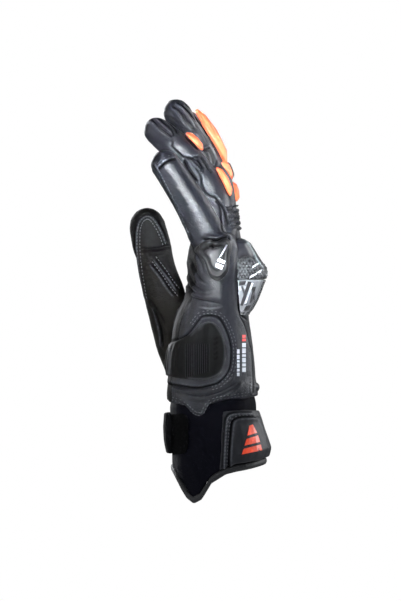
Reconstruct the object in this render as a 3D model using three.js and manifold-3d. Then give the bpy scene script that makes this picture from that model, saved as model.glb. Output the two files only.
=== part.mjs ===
// Short leather motorcycle glove for the left hand, as worn: fingers up and curled towards the palm.
// Millimetres. +X is the back of the hand, +Y the thumb side, +Z the fingertips.
// The origin is the middle of the wrist, where the closure strap holds it.

import * as THREE from "three";
import { mergeVertices } from "three/addons/utils/BufferGeometryUtils.js";
import Module from "manifold-3d";

const wasm = await Module();
wasm.setup();

// Leather and seams
const wall = 2; // leather with its lining
const clearance = 0.3; // gap between two pieces that are sewn together
const seat = 0.5; // gap between a raised piece and the leather under it

// Hand
const handHeight = 105; // wrist to finger roots
const handWidth = 96;
const handDepth = 58;
const palmHollow = 2.5; // dish in the middle of the palm
const knuckleRound = 5; // rounding at the finger roots
const hemSlope = 2.4; // the leather's lower edge is higher at the back
const hemPoint = 10; // how far the edge dips in a point on each side

// Digits
const fingerPitch = 23.4;
const fingerWidth = 22.4;
const fingerDepth = 21.4;
const littleWidth = 20.6;
const littleDepth = 20.8;
const thumbWidth = 22.6;
const thumbDepth = 25.8;
const littleLength = 72;
const ringLength = 99;
const middleLength = 104;
const indexLength = 94;
const thumbLength = 110;
const rootInset = 9; // how far a finger's axis starts inside the hand

// Cuff
const cuffHeight = 42;
const cuffSlope = 4; // its lower edge is higher at the back
const sideDrop = 3.5; // and lower at both sides
const cuffWidth = 94;
const cuffDepth = 60;
const cuffTuck = 0.9; // step from the leather down to the cuff
const tailDrop = 19; // pointed tail on the outer side
const innerTailDrop = 12; // the same on the thumb side
const bindingWidth = 3.6;
const bindingThickness = 3;

// Strap
const strapWidth = 26;
const strapThickness = 5;
const strapDrop = 21; // middle of the strap, below the wrist
const loopThickness = 1.3;

// Guards and pads
const cuffGuardRise = 4.8;
const wristRollWidth = 10;
const wristRollRise = 3;
const knuckleGuardRise = 15;
const sideGuardWidth = 19;
const sideGuardHeight = 0.248 * handHeight;
const sideGuardRise = 2.6;
const sliderHeight = 37;
const sliderRise = 2.2;
const sliderRibs = 8;
const sliderRibRise = 0.9;
const padRise = 3;
const stripRise = 3.4;
const capRise = 4.6;
const flexRise = 1.6;

const leather = { color: 0x17171b, roughness: 0.45, metalness: 0 };
const textile = { color: 0x0f0f14, roughness: 0.9, metalness: 0 };
const rubber = { color: 0x0a0a0a, roughness: 0.5, metalness: 0 };
const orange = { color: 0xf4582a, roughness: 0.5, metalness: 0 };
const plate = { color: 0xc9ccd2, roughness: 0.25, metalness: 0.2 };

const radians = (degrees) => (degrees * Math.PI) / 180;
const mix = (a, b, share) => a + (b - a) * share;
const clamp01 = (value) => Math.min(1, Math.max(0, value));
const ease = (share) => clamp01(share) ** 2 * (3 - 2 * clamp01(share));
const bell = (offset, spread) => Math.exp(-((offset / spread) ** 2));

// Half sizes of the hand, as shares of handDepth and handWidth, at shares of handHeight above the wrist.
const handRows = [
  { up: -0.14, palm: 0.455, back: 0.507, half: 0.378 },
  { up: 0.0, palm: 0.466, back: 0.503, half: 0.386 },
  { up: 0.21, palm: 0.505, back: 0.484, half: 0.425 },
  { up: 0.34, palm: 0.478, back: 0.459, half: 0.455 },
  { up: 0.49, palm: 0.43, back: 0.421, half: 0.482 },
  { up: 0.59, palm: 0.352, back: 0.4, half: 0.496 },
  { up: 0.65, palm: 0.272, back: 0.392, half: 0.499 },
  { up: 0.76, palm: 0.29, back: 0.378, half: 0.5 },
  { up: 0.885, palm: 0.275, back: 0.356, half: 0.496 },
  { up: 1.0, palm: 0.245, back: 0.33, half: 0.486 },
];

// Half sizes of the cuff, as shares of cuffDepth and cuffWidth, at shares of cuffHeight below the wrist.
const cuffRows = [
  { down: 0.0, palm: 0.451, back: 0.487, half: 0.394 },
  { down: 0.3, palm: 0.424, back: 0.485, half: 0.41 },
  { down: 0.5, palm: 0.415, back: 0.518, half: 0.433 },
  { down: 0.7, palm: 0.411, back: 0.563, half: 0.46 },
  { down: 1.0, palm: 0.408, back: 0.58, half: 0.5 },
];

// Half sizes of a finger, as shares of half its width and depth, at shares of its length.
const fingerRows = [
  { at: 0.0, wide: 1.0, deep: 1.06 },
  { at: 0.22, wide: 0.98, deep: 1.02 },
  { at: 0.42, wide: 1.0, deep: 1.03 },
  { at: 0.58, wide: 0.93, deep: 0.94 },
  { at: 0.72, wide: 0.94, deep: 0.94 },
  { at: 0.88, wide: 0.86, deep: 0.84 },
  { at: 1.0, wide: 0.8, deep: 0.78 },
];
const littleRows = [
  { at: 0.0, wide: 1.06, deep: 1.2 },
  { at: 0.25, wide: 1.02, deep: 1.12 },
  { at: 0.5, wide: 1.0, deep: 1.0 },
  { at: 0.75, wide: 0.95, deep: 0.94 },
  { at: 1.0, wide: 0.88, deep: 0.86 },
];
const thumbRows = [
  { at: 0.0, wide: 1.35, deep: 1.12 },
  { at: 0.25, wide: 1.25, deep: 1.14 },
  { at: 0.5, wide: 1.04, deep: 1.0 },
  { at: 0.64, wide: 0.98, deep: 0.96 },
  { at: 0.8, wide: 0.98, deep: 0.96 },
  { at: 1.0, wide: 0.86, deep: 0.83 },
];

// A smooth value between the rows of a table, held at its ends.
function between(rows, key, column, at) {
  const last = rows.length - 1;
  if (at <= rows[0][key]) return rows[0][column];
  if (at >= rows[last][key]) return rows[last][column];
  const i = rows.findIndex((row) => row[key] > at) - 1;
  const slope = (k) => {
    const a = rows[Math.max(0, k - 1)];
    const b = rows[Math.min(last, k + 1)];
    return (b[column] - a[column]) / (b[key] - a[key]);
  };
  const span = rows[i + 1][key] - rows[i][key];
  const t = (at - rows[i][key]) / span;
  const start = (2 * t ** 3 - 3 * t ** 2 + 1) * rows[i][column];
  const startSlope = (t ** 3 - 2 * t ** 2 + t) * span * slope(i);
  const end = (3 * t ** 2 - 2 * t ** 3) * rows[i + 1][column];
  const endSlope = (t ** 3 - t ** 2) * span * slope(i + 1);
  return start + startSlope + end + endSlope;
}

// Sections are superellipses: a little squarer than an oval.
const squareness = 2.5;
const rounded = (value) => Math.sign(value) * Math.abs(value) ** (2 / squareness);

// A point on a section at a turn from the back of the hand, grown outwards by grow.
function sectionPoint(section, turn, z, grow) {
  const across = rounded(Math.sin(turn));
  const along = rounded(Math.cos(turn));
  const depth = (along > 0 ? section.back : section.palm) + grow;
  const dish = along < 0 ? section.hollow * bell(across, 0.45) * -along : 0;
  return new THREE.Vector3(along * depth + dish, across * (section.half + grow), z);
}

function handSection(z) {
  const up = z / handHeight;
  return {
    palm: between(handRows, "up", "palm", up) * handDepth,
    back: between(handRows, "up", "back", up) * handDepth,
    half: between(handRows, "up", "half", up) * handWidth,
    hollow: palmHollow * ease(up / 0.3),
  };
}

function cuffSection(z) {
  const down = -z / cuffHeight;
  return {
    palm: between(cuffRows, "down", "palm", down) * cuffDepth,
    back: between(cuffRows, "down", "back", down) * cuffDepth,
    half: between(cuffRows, "down", "half", down) * cuffWidth,
    hollow: 0,
  };
}

// The hand's surface, rounded in over its last part at the finger roots.
const shoulder = handHeight - knuckleRound;
function handPoint(turn, z, grow) {
  const over = Math.min(Math.max(0, z - shoulder), knuckleRound);
  const inset = knuckleRound - Math.sqrt(knuckleRound ** 2 - over ** 2);
  return sectionPoint(handSection(Math.min(z, shoulder)), turn, z, grow - inset);
}
const cuffPoint = (turn, z, grow) => sectionPoint(cuffSection(z), turn, z, grow);

// Turn of the point on the outer side of a section that lies at x.
function outerTurn(section, x) {
  const depth = x > 0 ? section.back : section.palm;
  const cosine = Math.sign(x) * Math.min(1, Math.abs(x) / depth) ** (squareness / 2);
  return -Math.acos(cosine);
}

// X of the back of the hand at y.
function backX(y, z, grow) {
  const section = handSection(z);
  const across = Math.min(1, Math.abs(y) / (section.half + grow));
  return (section.back + grow) * (1 - across ** squareness) ** (1 / squareness);
}

// Heights of the leather's edge and of the cuff's edge round the wrist.
const signedTurn = (turn) => Math.atan2(Math.sin(turn), Math.cos(turn));
const hemPointTurn = radians(102);
const tailTurn = radians(108);
function hemZ(turn) {
  const side = Math.abs(signedTurn(turn));
  return hemSlope * ease((1 + Math.cos(turn)) / 2) - hemPoint * bell(side - hemPointTurn, radians(14));
}
function cuffEdgeZ(turn) {
  const side = Math.abs(signedTurn(turn));
  const drop = signedTurn(turn) < 0 ? tailDrop : innerTailDrop;
  const spread = side > tailTurn ? radians(36) : radians(17);
  const slope = (cuffSlope / 2) * Math.cos(turn) - sideDrop * Math.sin(turn) ** 2;
  return bindingWidth - cuffHeight + slope - drop * bell(side - tailTurn, spread);
}

// Solids

// A closed solid from a list of points and the triangles between them, turned to face out.
function closedSolid(points, triangles) {
  const geometry = new THREE.BufferGeometry().setFromPoints(points);
  geometry.setIndex(triangles.flat());
  const merged = mergeVertices(geometry, 1e-4);
  const position = merged.getAttribute("position");
  const index = merged.getIndex().array;
  const corner = [0, 1, 2].map(() => new THREE.Vector3());
  let volume = 0;
  for (let i = 0; i < index.length; i += 3) {
    corner.forEach((point, k) => point.fromBufferAttribute(position, index[i + k]));
    volume += corner[0].dot(corner[1].cross(corner[2]));
  }
  const triVerts = new Uint32Array(index);
  if (volume < 0) triVerts.reverse();
  const vertProperties = new Float32Array(position.array);
  return new wasm.Manifold(new wasm.Mesh({ numProp: 3, vertProperties, triVerts }));
}

// The largest piece of a cut solid, without the slivers beside it.
const mainBody = (solid) =>
  solid.decompose().reduce((best, piece) => (piece.volume() > best.volume() ? piece : best));

// A loft through rings of as many points each, closed at both ends.
function loftSolid(rings) {
  const count = rings[0].length;
  const points = rings.flat();
  const triangles = [];
  for (let r = 0; r < rings.length - 1; r++)
    for (let i = 0; i < count; i++) {
      const a = r * count + i;
      const b = r * count + ((i + 1) % count);
      triangles.push([a, b, a + count], [b, b + count, a + count]);
    }
  for (const [ring, flip] of [[0, true], [rings.length - 1, false]]) {
    const middle = new THREE.Vector3();
    rings[ring].forEach((point) => middle.addScaledVector(point, 1 / count));
    points.push(middle);
    for (let i = 0; i < count; i++) {
      const a = ring * count + i;
      const b = ring * count + ((i + 1) % count);
      triangles.push(flip ? [b, a, points.length - 1] : [a, b, points.length - 1]);
    }
  }
  return closedSolid(points, triangles);
}

// A band that closes on itself: profile(turn) gives the same number of points at each turn.
function bandSolid(sides, profile) {
  const rings = [];
  for (let i = 0; i < sides; i++) rings.push(profile((2 * Math.PI * i) / sides));
  const count = rings[0].length;
  const triangles = [];
  for (let r = 0; r < sides; r++)
    for (let i = 0; i < count; i++) {
      const next = ((r + 1) % sides) * count;
      const j = (i + 1) % count;
      triangles.push([r * count + i, r * count + j, next + i]);
      triangles.push([r * count + j, next + j, next + i]);
    }
  return closedSolid(rings.flat(), triangles);
}

// A sheet of the given columns and rows: place(u, v, outer) gives its outer and inner faces.
function sheetSolid(columns, rows, place) {
  const points = [];
  const number = (i, j, outer) => (outer * (columns + 1) + i) * (rows + 1) + j;
  for (const outer of [0, 1])
    for (let i = 0; i <= columns; i++)
      for (let j = 0; j <= rows; j++) points.push(place(i / columns, j / rows, outer));
  const triangles = [];
  const quad = (a, b, c, d) => triangles.push([a, b, c], [a, c, d]);
  for (let i = 0; i < columns; i++)
    for (let j = 0; j < rows; j++) {
      quad(number(i, j, 1), number(i + 1, j, 1), number(i + 1, j + 1, 1), number(i, j + 1, 1));
      quad(number(i, j, 0), number(i, j + 1, 0), number(i + 1, j + 1, 0), number(i + 1, j, 0));
    }
  for (let i = 0; i < columns; i++) {
    quad(number(i, 0, 0), number(i + 1, 0, 0), number(i + 1, 0, 1), number(i, 0, 1));
    quad(number(i, rows, 1), number(i + 1, rows, 1), number(i + 1, rows, 0), number(i, rows, 0));
  }
  for (let j = 0; j < rows; j++) {
    quad(number(0, j, 1), number(0, j + 1, 1), number(0, j + 1, 0), number(0, j, 0));
    quad(number(columns, j, 0), number(columns, j + 1, 0), number(columns, j + 1, 1), number(columns, j, 1));
  }
  return closedSolid(points, triangles);
}

// A pillow on a surface: outline(turn) gives its edge, place(p, q, height) a point over the surface.
function padSolid(sides, rise, outline, place) {
  const domes = [[0.66, 0.85], [1, 0.3]];
  const points = [place(0, 0, rise), place(0, 0, 0)];
  const number = (ring, i, outer) => 2 + (ring * 2 + outer) * sides + (i % sides);
  for (const [share, height] of domes)
    for (const outer of [0, 1])
      for (let i = 0; i < sides; i++) {
        const [p, q] = outline((2 * Math.PI * i) / sides);
        points.push(place(p * share, q * share, outer * height * rise));
      }
  const triangles = [];
  for (let i = 0; i < sides; i++) {
    triangles.push([0, number(0, i, 1), number(0, i + 1, 1)]);
    triangles.push([1, number(0, i + 1, 0), number(0, i, 0)]);
    for (let ring = 0; ring < domes.length - 1; ring++)
      for (const outer of [1, 0]) {
        const quad = [
          number(ring, i, outer),
          number(ring + 1, i, outer),
          number(ring + 1, i + 1, outer),
          number(ring, i + 1, outer),
        ];
        if (!outer) quad.reverse();
        triangles.push([quad[0], quad[1], quad[2]], [quad[0], quad[2], quad[3]]);
      }
    const edge = domes.length - 1;
    triangles.push([number(edge, i, 1), number(edge, i, 0), number(edge, i + 1, 0)]);
    triangles.push([number(edge, i, 1), number(edge, i + 1, 0), number(edge, i + 1, 1)]);
  }
  return closedSolid(points, triangles);
}

// Digits

// Where each digit starts, its tilt towards the palm at the root, how much more it tilts at its
// two joints, and its splay towards the thumb side, in degrees. Joints are at shares of its length.
const rootZ = handHeight - rootInset;
const digits = {
  little_finger: {
    start: [0.033 * handDepth, -1.5 * fingerPitch, rootZ],
    length: littleLength, width: littleWidth, depth: littleDepth, rows: littleRows,
    tilt: 26, firstJoint: 0.34, firstBend: 5, secondJoint: 0.66, secondBend: 3, splay: -3,
  },
  ring_finger: {
    start: [0.148 * handDepth, -0.5 * fingerPitch, rootZ],
    length: ringLength, width: fingerWidth, depth: fingerDepth, rows: fingerRows,
    tilt: 14, firstJoint: 0.41, firstBend: 22, secondJoint: 0.69, secondBend: 14, splay: -1,
  },
  middle_finger: {
    start: [0.142 * handDepth, 0.5 * fingerPitch, rootZ],
    length: middleLength, width: fingerWidth, depth: fingerDepth, rows: fingerRows,
    tilt: 6, firstJoint: 0.42, firstBend: 20, secondJoint: 0.7, secondBend: 9, splay: 0.5,
  },
  index_finger: {
    start: [0.157 * handDepth, 1.5 * fingerPitch, rootZ],
    length: indexLength, width: fingerWidth, depth: fingerDepth, rows: fingerRows,
    tilt: 8.5, firstJoint: 0.4, firstBend: 8, secondJoint: 0.7, secondBend: 14, splay: 2.5,
  },
  thumb: {
    start: [-0.262 * handDepth, 0.2 * handWidth, 0.2 * handHeight],
    length: thumbLength, width: thumbWidth, depth: thumbDepth, rows: thumbRows,
    tilt: 18, firstJoint: 0.35, firstBend: -2, secondJoint: 0.7, secondBend: -4, splay: 21,
  },
};

const pathSteps = 40;
const jointSpan = 0.2;
for (const digit of Object.values(digits)) {
  const point = new THREE.Vector3(...digit.start);
  const points = [point.clone()];
  for (let i = 0; i < pathSteps; i++) {
    const share = (i + 0.5) / pathSteps;
    const first = digit.firstBend * ease((share - digit.firstJoint) / jointSpan + 0.5);
    const second = digit.secondBend * ease((share - digit.secondJoint) / jointSpan + 0.5);
    const tilt = radians(digit.tilt + first + second);
    const splay = radians(digit.splay * (1 - 0.5 * ease(share)));
    const heading = new THREE.Vector3(-Math.tan(tilt), Math.tan(splay), 1).normalize();
    point.addScaledVector(heading, digit.length / pathSteps);
    points.push(point.clone());
  }
  digit.curve = new THREE.CatmullRomCurve3(points);
}

// A point on a digit: along it in mm, at a turn from its back, grown outwards, its section shrunk.
function digitPoint(digit, along, turn, grow, shrink = 1) {
  const share = clamp01(along / digit.length);
  const tangent = digit.curve.getTangentAt(share);
  const side = new THREE.Vector3(0, 1, 0).addScaledVector(tangent, -tangent.y).normalize();
  const back = side.clone().cross(tangent);
  const wide = (between(digit.rows, "at", "wide", share) * digit.width) / 2 + grow;
  const deep = (between(digit.rows, "at", "deep", share) * digit.depth) / 2 + grow;
  return digit.curve
    .getPointAt(share)
    .addScaledVector(tangent, along - share * digit.length)
    .addScaledVector(back, Math.cos(turn) * deep * shrink)
    .addScaledVector(side, Math.sin(turn) * wide * shrink);
}

const digitStations = [0, 0.2, 0.34, 0.42, 0.5, 0.6, 0.68, 0.77, 0.87, 1];
const tipTurns = [28, 52, 72, 85].map(radians);
function digitLoft(digit, grow, sides, startsAt) {
  const round = 0.42 * digit.depth;
  const straight = digit.length + grow - round;
  const ring = (along, shrink) =>
    Array.from({ length: sides }, (_, i) =>
      digitPoint(digit, along, (2 * Math.PI * i) / sides, grow, shrink),
    );
  const rings = digitStations.map((share) => ring(mix(startsAt, straight, share), 1));
  for (const turn of tipTurns)
    rings.push(ring(straight + round * Math.sin(turn), Math.cos(turn)));
  return loftSolid(rings);
}

// Hand

const wristSides = 32; // sides of every section of the hand and cuff
const handStations = [0, 0.14, 0.28, 0.4, 0.5, 0.57, 0.64, 0.76, 0.88, 1];
const endTurns = [35, 65, 90].map(radians);
function handLoft(grow, sides, lowest) {
  const turns = Array.from({ length: sides }, (_, i) => (2 * Math.PI * i) / sides);
  const rings = handStations.map((share) =>
    turns.map((turn) => handPoint(turn, mix(lowest(turn), shoulder, share), grow)),
  );
  for (const end of endTurns)
    rings.push(
      turns.map((turn) => {
        const point = handPoint(turn, shoulder + knuckleRound * Math.sin(end), grow);
        return point.setZ(point.z + grow * Math.sin(end));
      }),
    );
  return loftSolid(rings);
}

const handOuter = handLoft(0, wristSides, hemZ);
const handOuterClear = handLoft(clearance, wristSides, (turn) => hemZ(turn) - clearance);
const handInner = handLoft(-wall, 20, () => -2 * hemPoint);

const thumbClear = digitLoft(digits.thumb, clearance, 16, 0);
const cavities = Object.values(digits).map((digit) => digitLoft(digit, -wall, 10, -1));
const hollow = cavities.reduce((all, cavity) => all.add(cavity), handInner);

// The hand is sewn from four panels: its back and its palm, which meet the sides along seams near
// their edges, and the two sides, which meet between the middle and ring fingers.
const panelReach = handWidth;
const panelHeights = [-2, -0.2, 0.3, 0.6, 1.3].map((share) => share * handHeight);
function panelVolume(seamX, farX) {
  return loftSolid(
    panelHeights.map((z) => {
      const corners = [[seamX(z), -1], [farX, -1], [farX, 1], [seamX(z), 1]];
      return corners.map(([x, y]) => new THREE.Vector3(x, y * panelReach, z));
    }),
  );
}
const backSeam = (z) => handSection(z).back * (0.9 - 0.1 * ease(z / handHeight));
const palmSeam = (z) => -0.72 * handSection(z).palm;
const backPanel = panelVolume(backSeam, panelReach);
const palmPanel = panelVolume(palmSeam, -panelReach);
const backPanelClear = panelVolume((z) => backSeam(z) - clearance, panelReach);
const palmPanelClear = panelVolume((z) => palmSeam(z) + clearance, -panelReach);

const handShell = handOuter.subtract(hollow);
const backOfHand = handShell.intersect(backPanel);
const palm = handShell.intersect(palmPanel);
const sides = handShell.subtract(backPanelClear).subtract(palmPanelClear);
const outerSide = sides.trimByPlane([0, -1, 0], clearance / 2);
const thumbSide = sides.trimByPlane([0, 1, 0], clearance / 2);

const digitShells = {};
for (const [name, digit] of Object.entries(digits))
  digitShells[name] = digitLoft(digit, 0, 16, 0).subtract(hollow).subtract(handOuterClear);
digitShells.index_finger = digitShells.index_finger.subtract(thumbClear);

// Cuff

function cuffShell() {
  const levels = [0, 0.3, 0.5, 0.72, 1];
  const shell = bandSolid(wristSides, (turn) => {
    const top = hemZ(turn) + wall; // cut level with the leather's edge below
    const at = (share, grow) => cuffPoint(turn, mix(top, cuffEdgeZ(turn), share), grow);
    const outer = levels.map((share) => at(share, -cuffTuck * (1 - ease(share * 4))));
    const inner = [0, 0.5, 1].map((share) => at(share, -wall - cuffTuck * (1 - ease(share * 4))));
    return [...outer, ...inner.reverse()];
  });
  return shell.subtract(handOuterClear);
}

function cuffBinding() {
  const proud = (bindingThickness - wall) / 2;
  return bandSolid(wristSides, (turn) => {
    const top = cuffEdgeZ(turn) - 2 * clearance;
    const bottom = top - bindingWidth;
    const middle = (top + bottom) / 2;
    return [
      cuffPoint(turn, top, proud),
      cuffPoint(turn, middle, proud + 0.4),
      cuffPoint(turn, bottom, 0),
      cuffPoint(turn, bottom, -wall),
      cuffPoint(turn, top, -wall - proud),
    ];
  });
}

// The guard on the cuff's outer side wraps onto its back, and ends above the binding.
const cuffGuardTurns = { lowerFront: radians(-85), upperFront: radians(-80), back: radians(6) };
function cuffGuard() {
  return sheetSolid(9, 5, (u, v, outer) => {
    const front = mix(cuffGuardTurns.lowerFront, cuffGuardTurns.upperFront, v);
    const turn = mix(front, cuffGuardTurns.back, u);
    const top = -0.13 * cuffHeight - 2.5 * Math.abs(u - 0.5);
    const z = mix(cuffEdgeZ(turn) + clearance, top, v);
    const edge = Math.min(1, 5 * Math.min(u, 1 - u, v, 1.4 * (1 - v)) + 0.3);
    const rise = cuffGuardRise * Math.sqrt(edge) * (1 - 0.5 * v ** 3);
    return cuffPoint(turn, z, outer ? seat + rise : seat);
  });
}

// Strap round the palm side of the wrist, and the patch that it fastens to on the outer side.
const strapTurns = { start: 95, end: 200 };
const patchTurns = { start: 203, end: 232 };
function strapSheet(turns, columns, width, thickness) {
  const rows = 3;
  return sheetSolid(columns, rows, (u, v, outer) => {
    const turn = radians(mix(turns.start, turns.end, u));
    const z = -strapDrop + (v - 0.5) * width;
    const edge = v > 0 && v < 1 ? 1 : 0.7;
    return cuffPoint(turn, z, outer ? seat + thickness * edge : seat);
  });
}

// Pieces on the hand

// A padded roll over the elastic across the back of the wrist.
function wristRoll() {
  const half = 0.27 * handWidth;
  return sheetSolid(8, 4, (u, v, outer) => {
    const y = mix(-half, half, u);
    const z = 0.08 * handHeight + (v - 0.5) * wristRollWidth;
    const round = Math.sqrt(Math.sin(Math.PI * mix(0.06, 0.94, v)));
    const ends = Math.sqrt(Math.sin(Math.PI * mix(0.04, 0.96, u)));
    const x = backX(y, z, seat) + (outer ? wristRollRise * round * ends : 0);
    return new THREE.Vector3(x, y, z);
  });
}

// Height of the knuckle guard over the leather, from its lower end to its upper end.
const guardRows = [
  { at: 0.0, rise: 0.05 },
  { at: 0.03, rise: 0.22 },
  { at: 0.11, rise: 0.38 },
  { at: 0.26, rise: 0.6 },
  { at: 0.36, rise: 0.74 },
  { at: 0.455, rise: 0.87 },
  { at: 0.57, rise: 0.96 },
  { at: 0.7, rise: 0.78 },
  { at: 0.84, rise: 0.47 },
  { at: 0.94, rise: 0.22 },
  { at: 1.0, rise: 0.08 },
];
const guardFoot = 0.475 * handHeight;
const knuckleGuardHeight = handHeight - guardFoot;
const knuckleShellHeight = 0.49 * knuckleGuardHeight; // the pale plate at its lower end
const guardTurns = { outer: radians(-42), inner: radians(42) };
function guardPoint(across, up, outer) {
  const z = guardFoot + up;
  const turn = mix(guardTurns.outer, guardTurns.inner, (across + 1) / 2);
  const point = handPoint(turn, z, seat);
  if (!outer) return point;
  const share = up / knuckleGuardHeight;
  const end = (1 - Math.abs(across) ** 5) ** 0.5;
  const knuckles = 1 + 0.035 * Math.cos((2 * Math.PI * point.y) / fingerPitch);
  const rise = knuckleGuardRise * between(guardRows, "at", "rise", share) * end * knuckles;
  point.x += Math.max(1, rise);
  point.y *= mix(1, 0.95, share);
  return point;
}
const fingersClear = ["little_finger", "ring_finger", "middle_finger", "index_finger"]
  .map((name) => digitLoft(digits[name], clearance, 16, 0))
  .reduce((all, finger) => all.add(finger));
const knuckleGuardSheet = sheetSolid(12, 6, (u, v, outer) =>
  guardPoint(2 * u - 1, mix(knuckleShellHeight + clearance, knuckleGuardHeight, v), outer),
);
const knuckleGuard = mainBody(knuckleGuardSheet.subtract(fingersClear).subtract(handOuterClear));
const knuckleShell = sheetSolid(12, 6, (u, v, outer) =>
  guardPoint(2 * u - 1, mix(0, knuckleShellHeight, v), outer),
);

// Shield-shaped insert beside the little finger's knuckle.
function sideGuard() {
  const middleX = 0.05 * handDepth;
  const middleZ = 0.855 * handHeight;
  return padSolid(
    14,
    sideGuardRise,
    (turn) => {
      const across = Math.cos(turn) * (1 + 0.28 * Math.sin(turn));
      return [0.5 * sideGuardWidth * across, 0.5 * sideGuardHeight * Math.sin(turn)];
    },
    (p, q, height) => {
      const z = middleZ + q;
      const turn = outerTurn(handSection(z), middleX + p + 0.12 * q);
      return handPoint(turn, z, seat + height);
    },
  );
}

// Ribbed slider on the outer edge of the palm heel. It wraps from the palm round the outer side:
// at each turn it reaches from low to high, as shares of its height.
const sliderRows = [
  { turn: -168, low: -0.42, high: 0.12 },
  { turn: -150, low: -0.44, high: 0.14 },
  { turn: -130, low: -0.47, high: 0.2 },
  { turn: -113, low: -0.49, high: 0.3 },
  { turn: -101, low: -0.5, high: 0.45 },
  { turn: -90, low: -0.48, high: 0.5 },
  { turn: -82, low: -0.38, high: 0.4 },
  { turn: -77, low: -0.2, high: 0.22 },
  { turn: -74, low: -0.06, high: 0.06 },
];
function palmSlider() {
  const middleZ = 0.3 * handHeight;
  const first = sliderRows[0].turn;
  const last = sliderRows[sliderRows.length - 1].turn;
  return sheetSolid(4 * sliderRibs, 4, (u, v, outer) => {
    const turn = mix(first, last, u);
    const low = between(sliderRows, "turn", "low", turn) * sliderHeight;
    const high = between(sliderRows, "turn", "high", turn) * sliderHeight;
    const z = middleZ + mix(low, high, v);
    const onRim = u < 0.1 || u > 0.86 || v < 0.2 || v > 0.8;
    const wave = 0.5 - 0.5 * Math.cos(2 * Math.PI * sliderRibs * u);
    const edge = Math.min(1, 0.4 + 8 * Math.min(u, 1 - u, v, 1 - v));
    const rise = sliderRise * edge - sliderRibRise * (onRim ? 0 : 1 - wave);
    return handPoint(radians(turn), z, outer ? seat + rise : seat);
  });
}

// Pieces on the fingers' backs

// Lens-shaped pads, each between two shares of its finger's length, as wide as a share of its
// finger's width, and turned aside in degrees.
const pads = {
  ring_pad_lower: { on: "ring_finger", from: 0.33, to: 0.49, width: 0.49, rise: padRise, aside: 0 },
  ring_pad_upper: { on: "ring_finger", from: 0.63, to: 0.76, width: 0.45, rise: padRise, aside: 0 },
  index_pad_lower: { on: "index_finger", from: 0.32, to: 0.44, width: 0.54, rise: padRise, aside: 0 },
  index_pad_middle: { on: "index_finger", from: 0.45, to: 0.59, width: 0.4, rise: padRise, aside: -25 },
  index_cap: { on: "index_finger", from: 0.45, to: 0.6, width: 0.4, rise: capRise, aside: 27 },
  index_strip: { on: "index_finger", from: 0.61, to: 0.96, width: 0.58, rise: stripRise, aside: 0 },
};
function fingerPad(pad) {
  const digit = digits[pad.on];
  const middle = ((pad.from + pad.to) / 2) * digit.length;
  const half = ((pad.to - pad.from) / 2) * digit.length;
  const blunt = (value) => Math.sign(value) * Math.abs(value) ** 0.8;
  return padSolid(
    12,
    pad.rise,
    (turn) => [half * Math.cos(turn), (pad.width / 2) * digit.width * blunt(Math.sin(turn))],
    (p, q, height) => {
      const turn = radians(pad.aside) + q / (digit.width / 2);
      return digitPoint(digit, middle + p, turn, seat + height);
    },
  );
}

// Gathered strip across a finger's root.
const flexRibs = 4;
const flexHalfTurn = 52;
function fingerFlex(digit) {
  const from = rootInset + 2;
  const to = 0.27 * digit.length;
  return sheetSolid(2 * flexRibs + 1, 4, (u, v, outer) => {
    const rib = 0.55 + 0.45 * Math.cos(Math.PI * (2 * flexRibs + 1) * u - Math.PI);
    const turn = radians(mix(-flexHalfTurn, flexHalfTurn, v));
    return digitPoint(digit, mix(from, to, u), turn, outer ? seat + flexRise * rib : seat);
  });
}

const solids = {
  back_of_hand: [backOfHand, leather],
  palm: [palm, leather],
  outer_side: [outerSide, leather],
  thumb_side: [thumbSide, leather],
  little_finger: [digitShells.little_finger, leather],
  ring_finger: [digitShells.ring_finger, leather],
  middle_finger: [digitShells.middle_finger, leather],
  index_finger: [digitShells.index_finger, leather],
  thumb: [digitShells.thumb, leather],
  cuff: [cuffShell(), textile],
  cuff_binding: [cuffBinding(), leather],
  cuff_guard: [cuffGuard(), leather],
  closure_strap: [strapSheet(strapTurns, 12, strapWidth, strapThickness), textile],
  loop_patch: [strapSheet(patchTurns, 5, strapWidth - 2, loopThickness), textile],
  wrist_roll: [wristRoll(), leather],
  knuckle_guard: [knuckleGuard, rubber],
  knuckle_shell: [knuckleShell, plate],
  side_guard: [sideGuard(), rubber],
  palm_slider: [palmSlider(), rubber],
  ring_flex: [fingerFlex(digits.ring_finger), leather],
  middle_flex: [fingerFlex(digits.middle_finger), leather],
  index_flex: [fingerFlex(digits.index_finger), leather],
};
for (const [name, pad] of Object.entries(pads))
  solids[name] = [fingerPad(pad), name === "index_cap" ? rubber : orange];

const glove = new THREE.Group();
for (const [name, [solid, look]] of Object.entries(solids)) {
  const { vertProperties, triVerts } = solid.getMesh();
  const geometry = new THREE.BufferGeometry();
  geometry.setAttribute("position", new THREE.BufferAttribute(vertProperties, 3));
  geometry.setIndex(new THREE.BufferAttribute(triVerts, 1));
  geometry.computeVertexNormals();
  const mesh = new THREE.Mesh(geometry, new THREE.MeshStandardMaterial(look));
  mesh.name = name;
  glove.add(mesh);
}

export default glove;
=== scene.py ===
import math

import bpy
import numpy as np
from mathutils import Matrix, Vector
from mathutils.bvhtree import BVHTree


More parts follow.
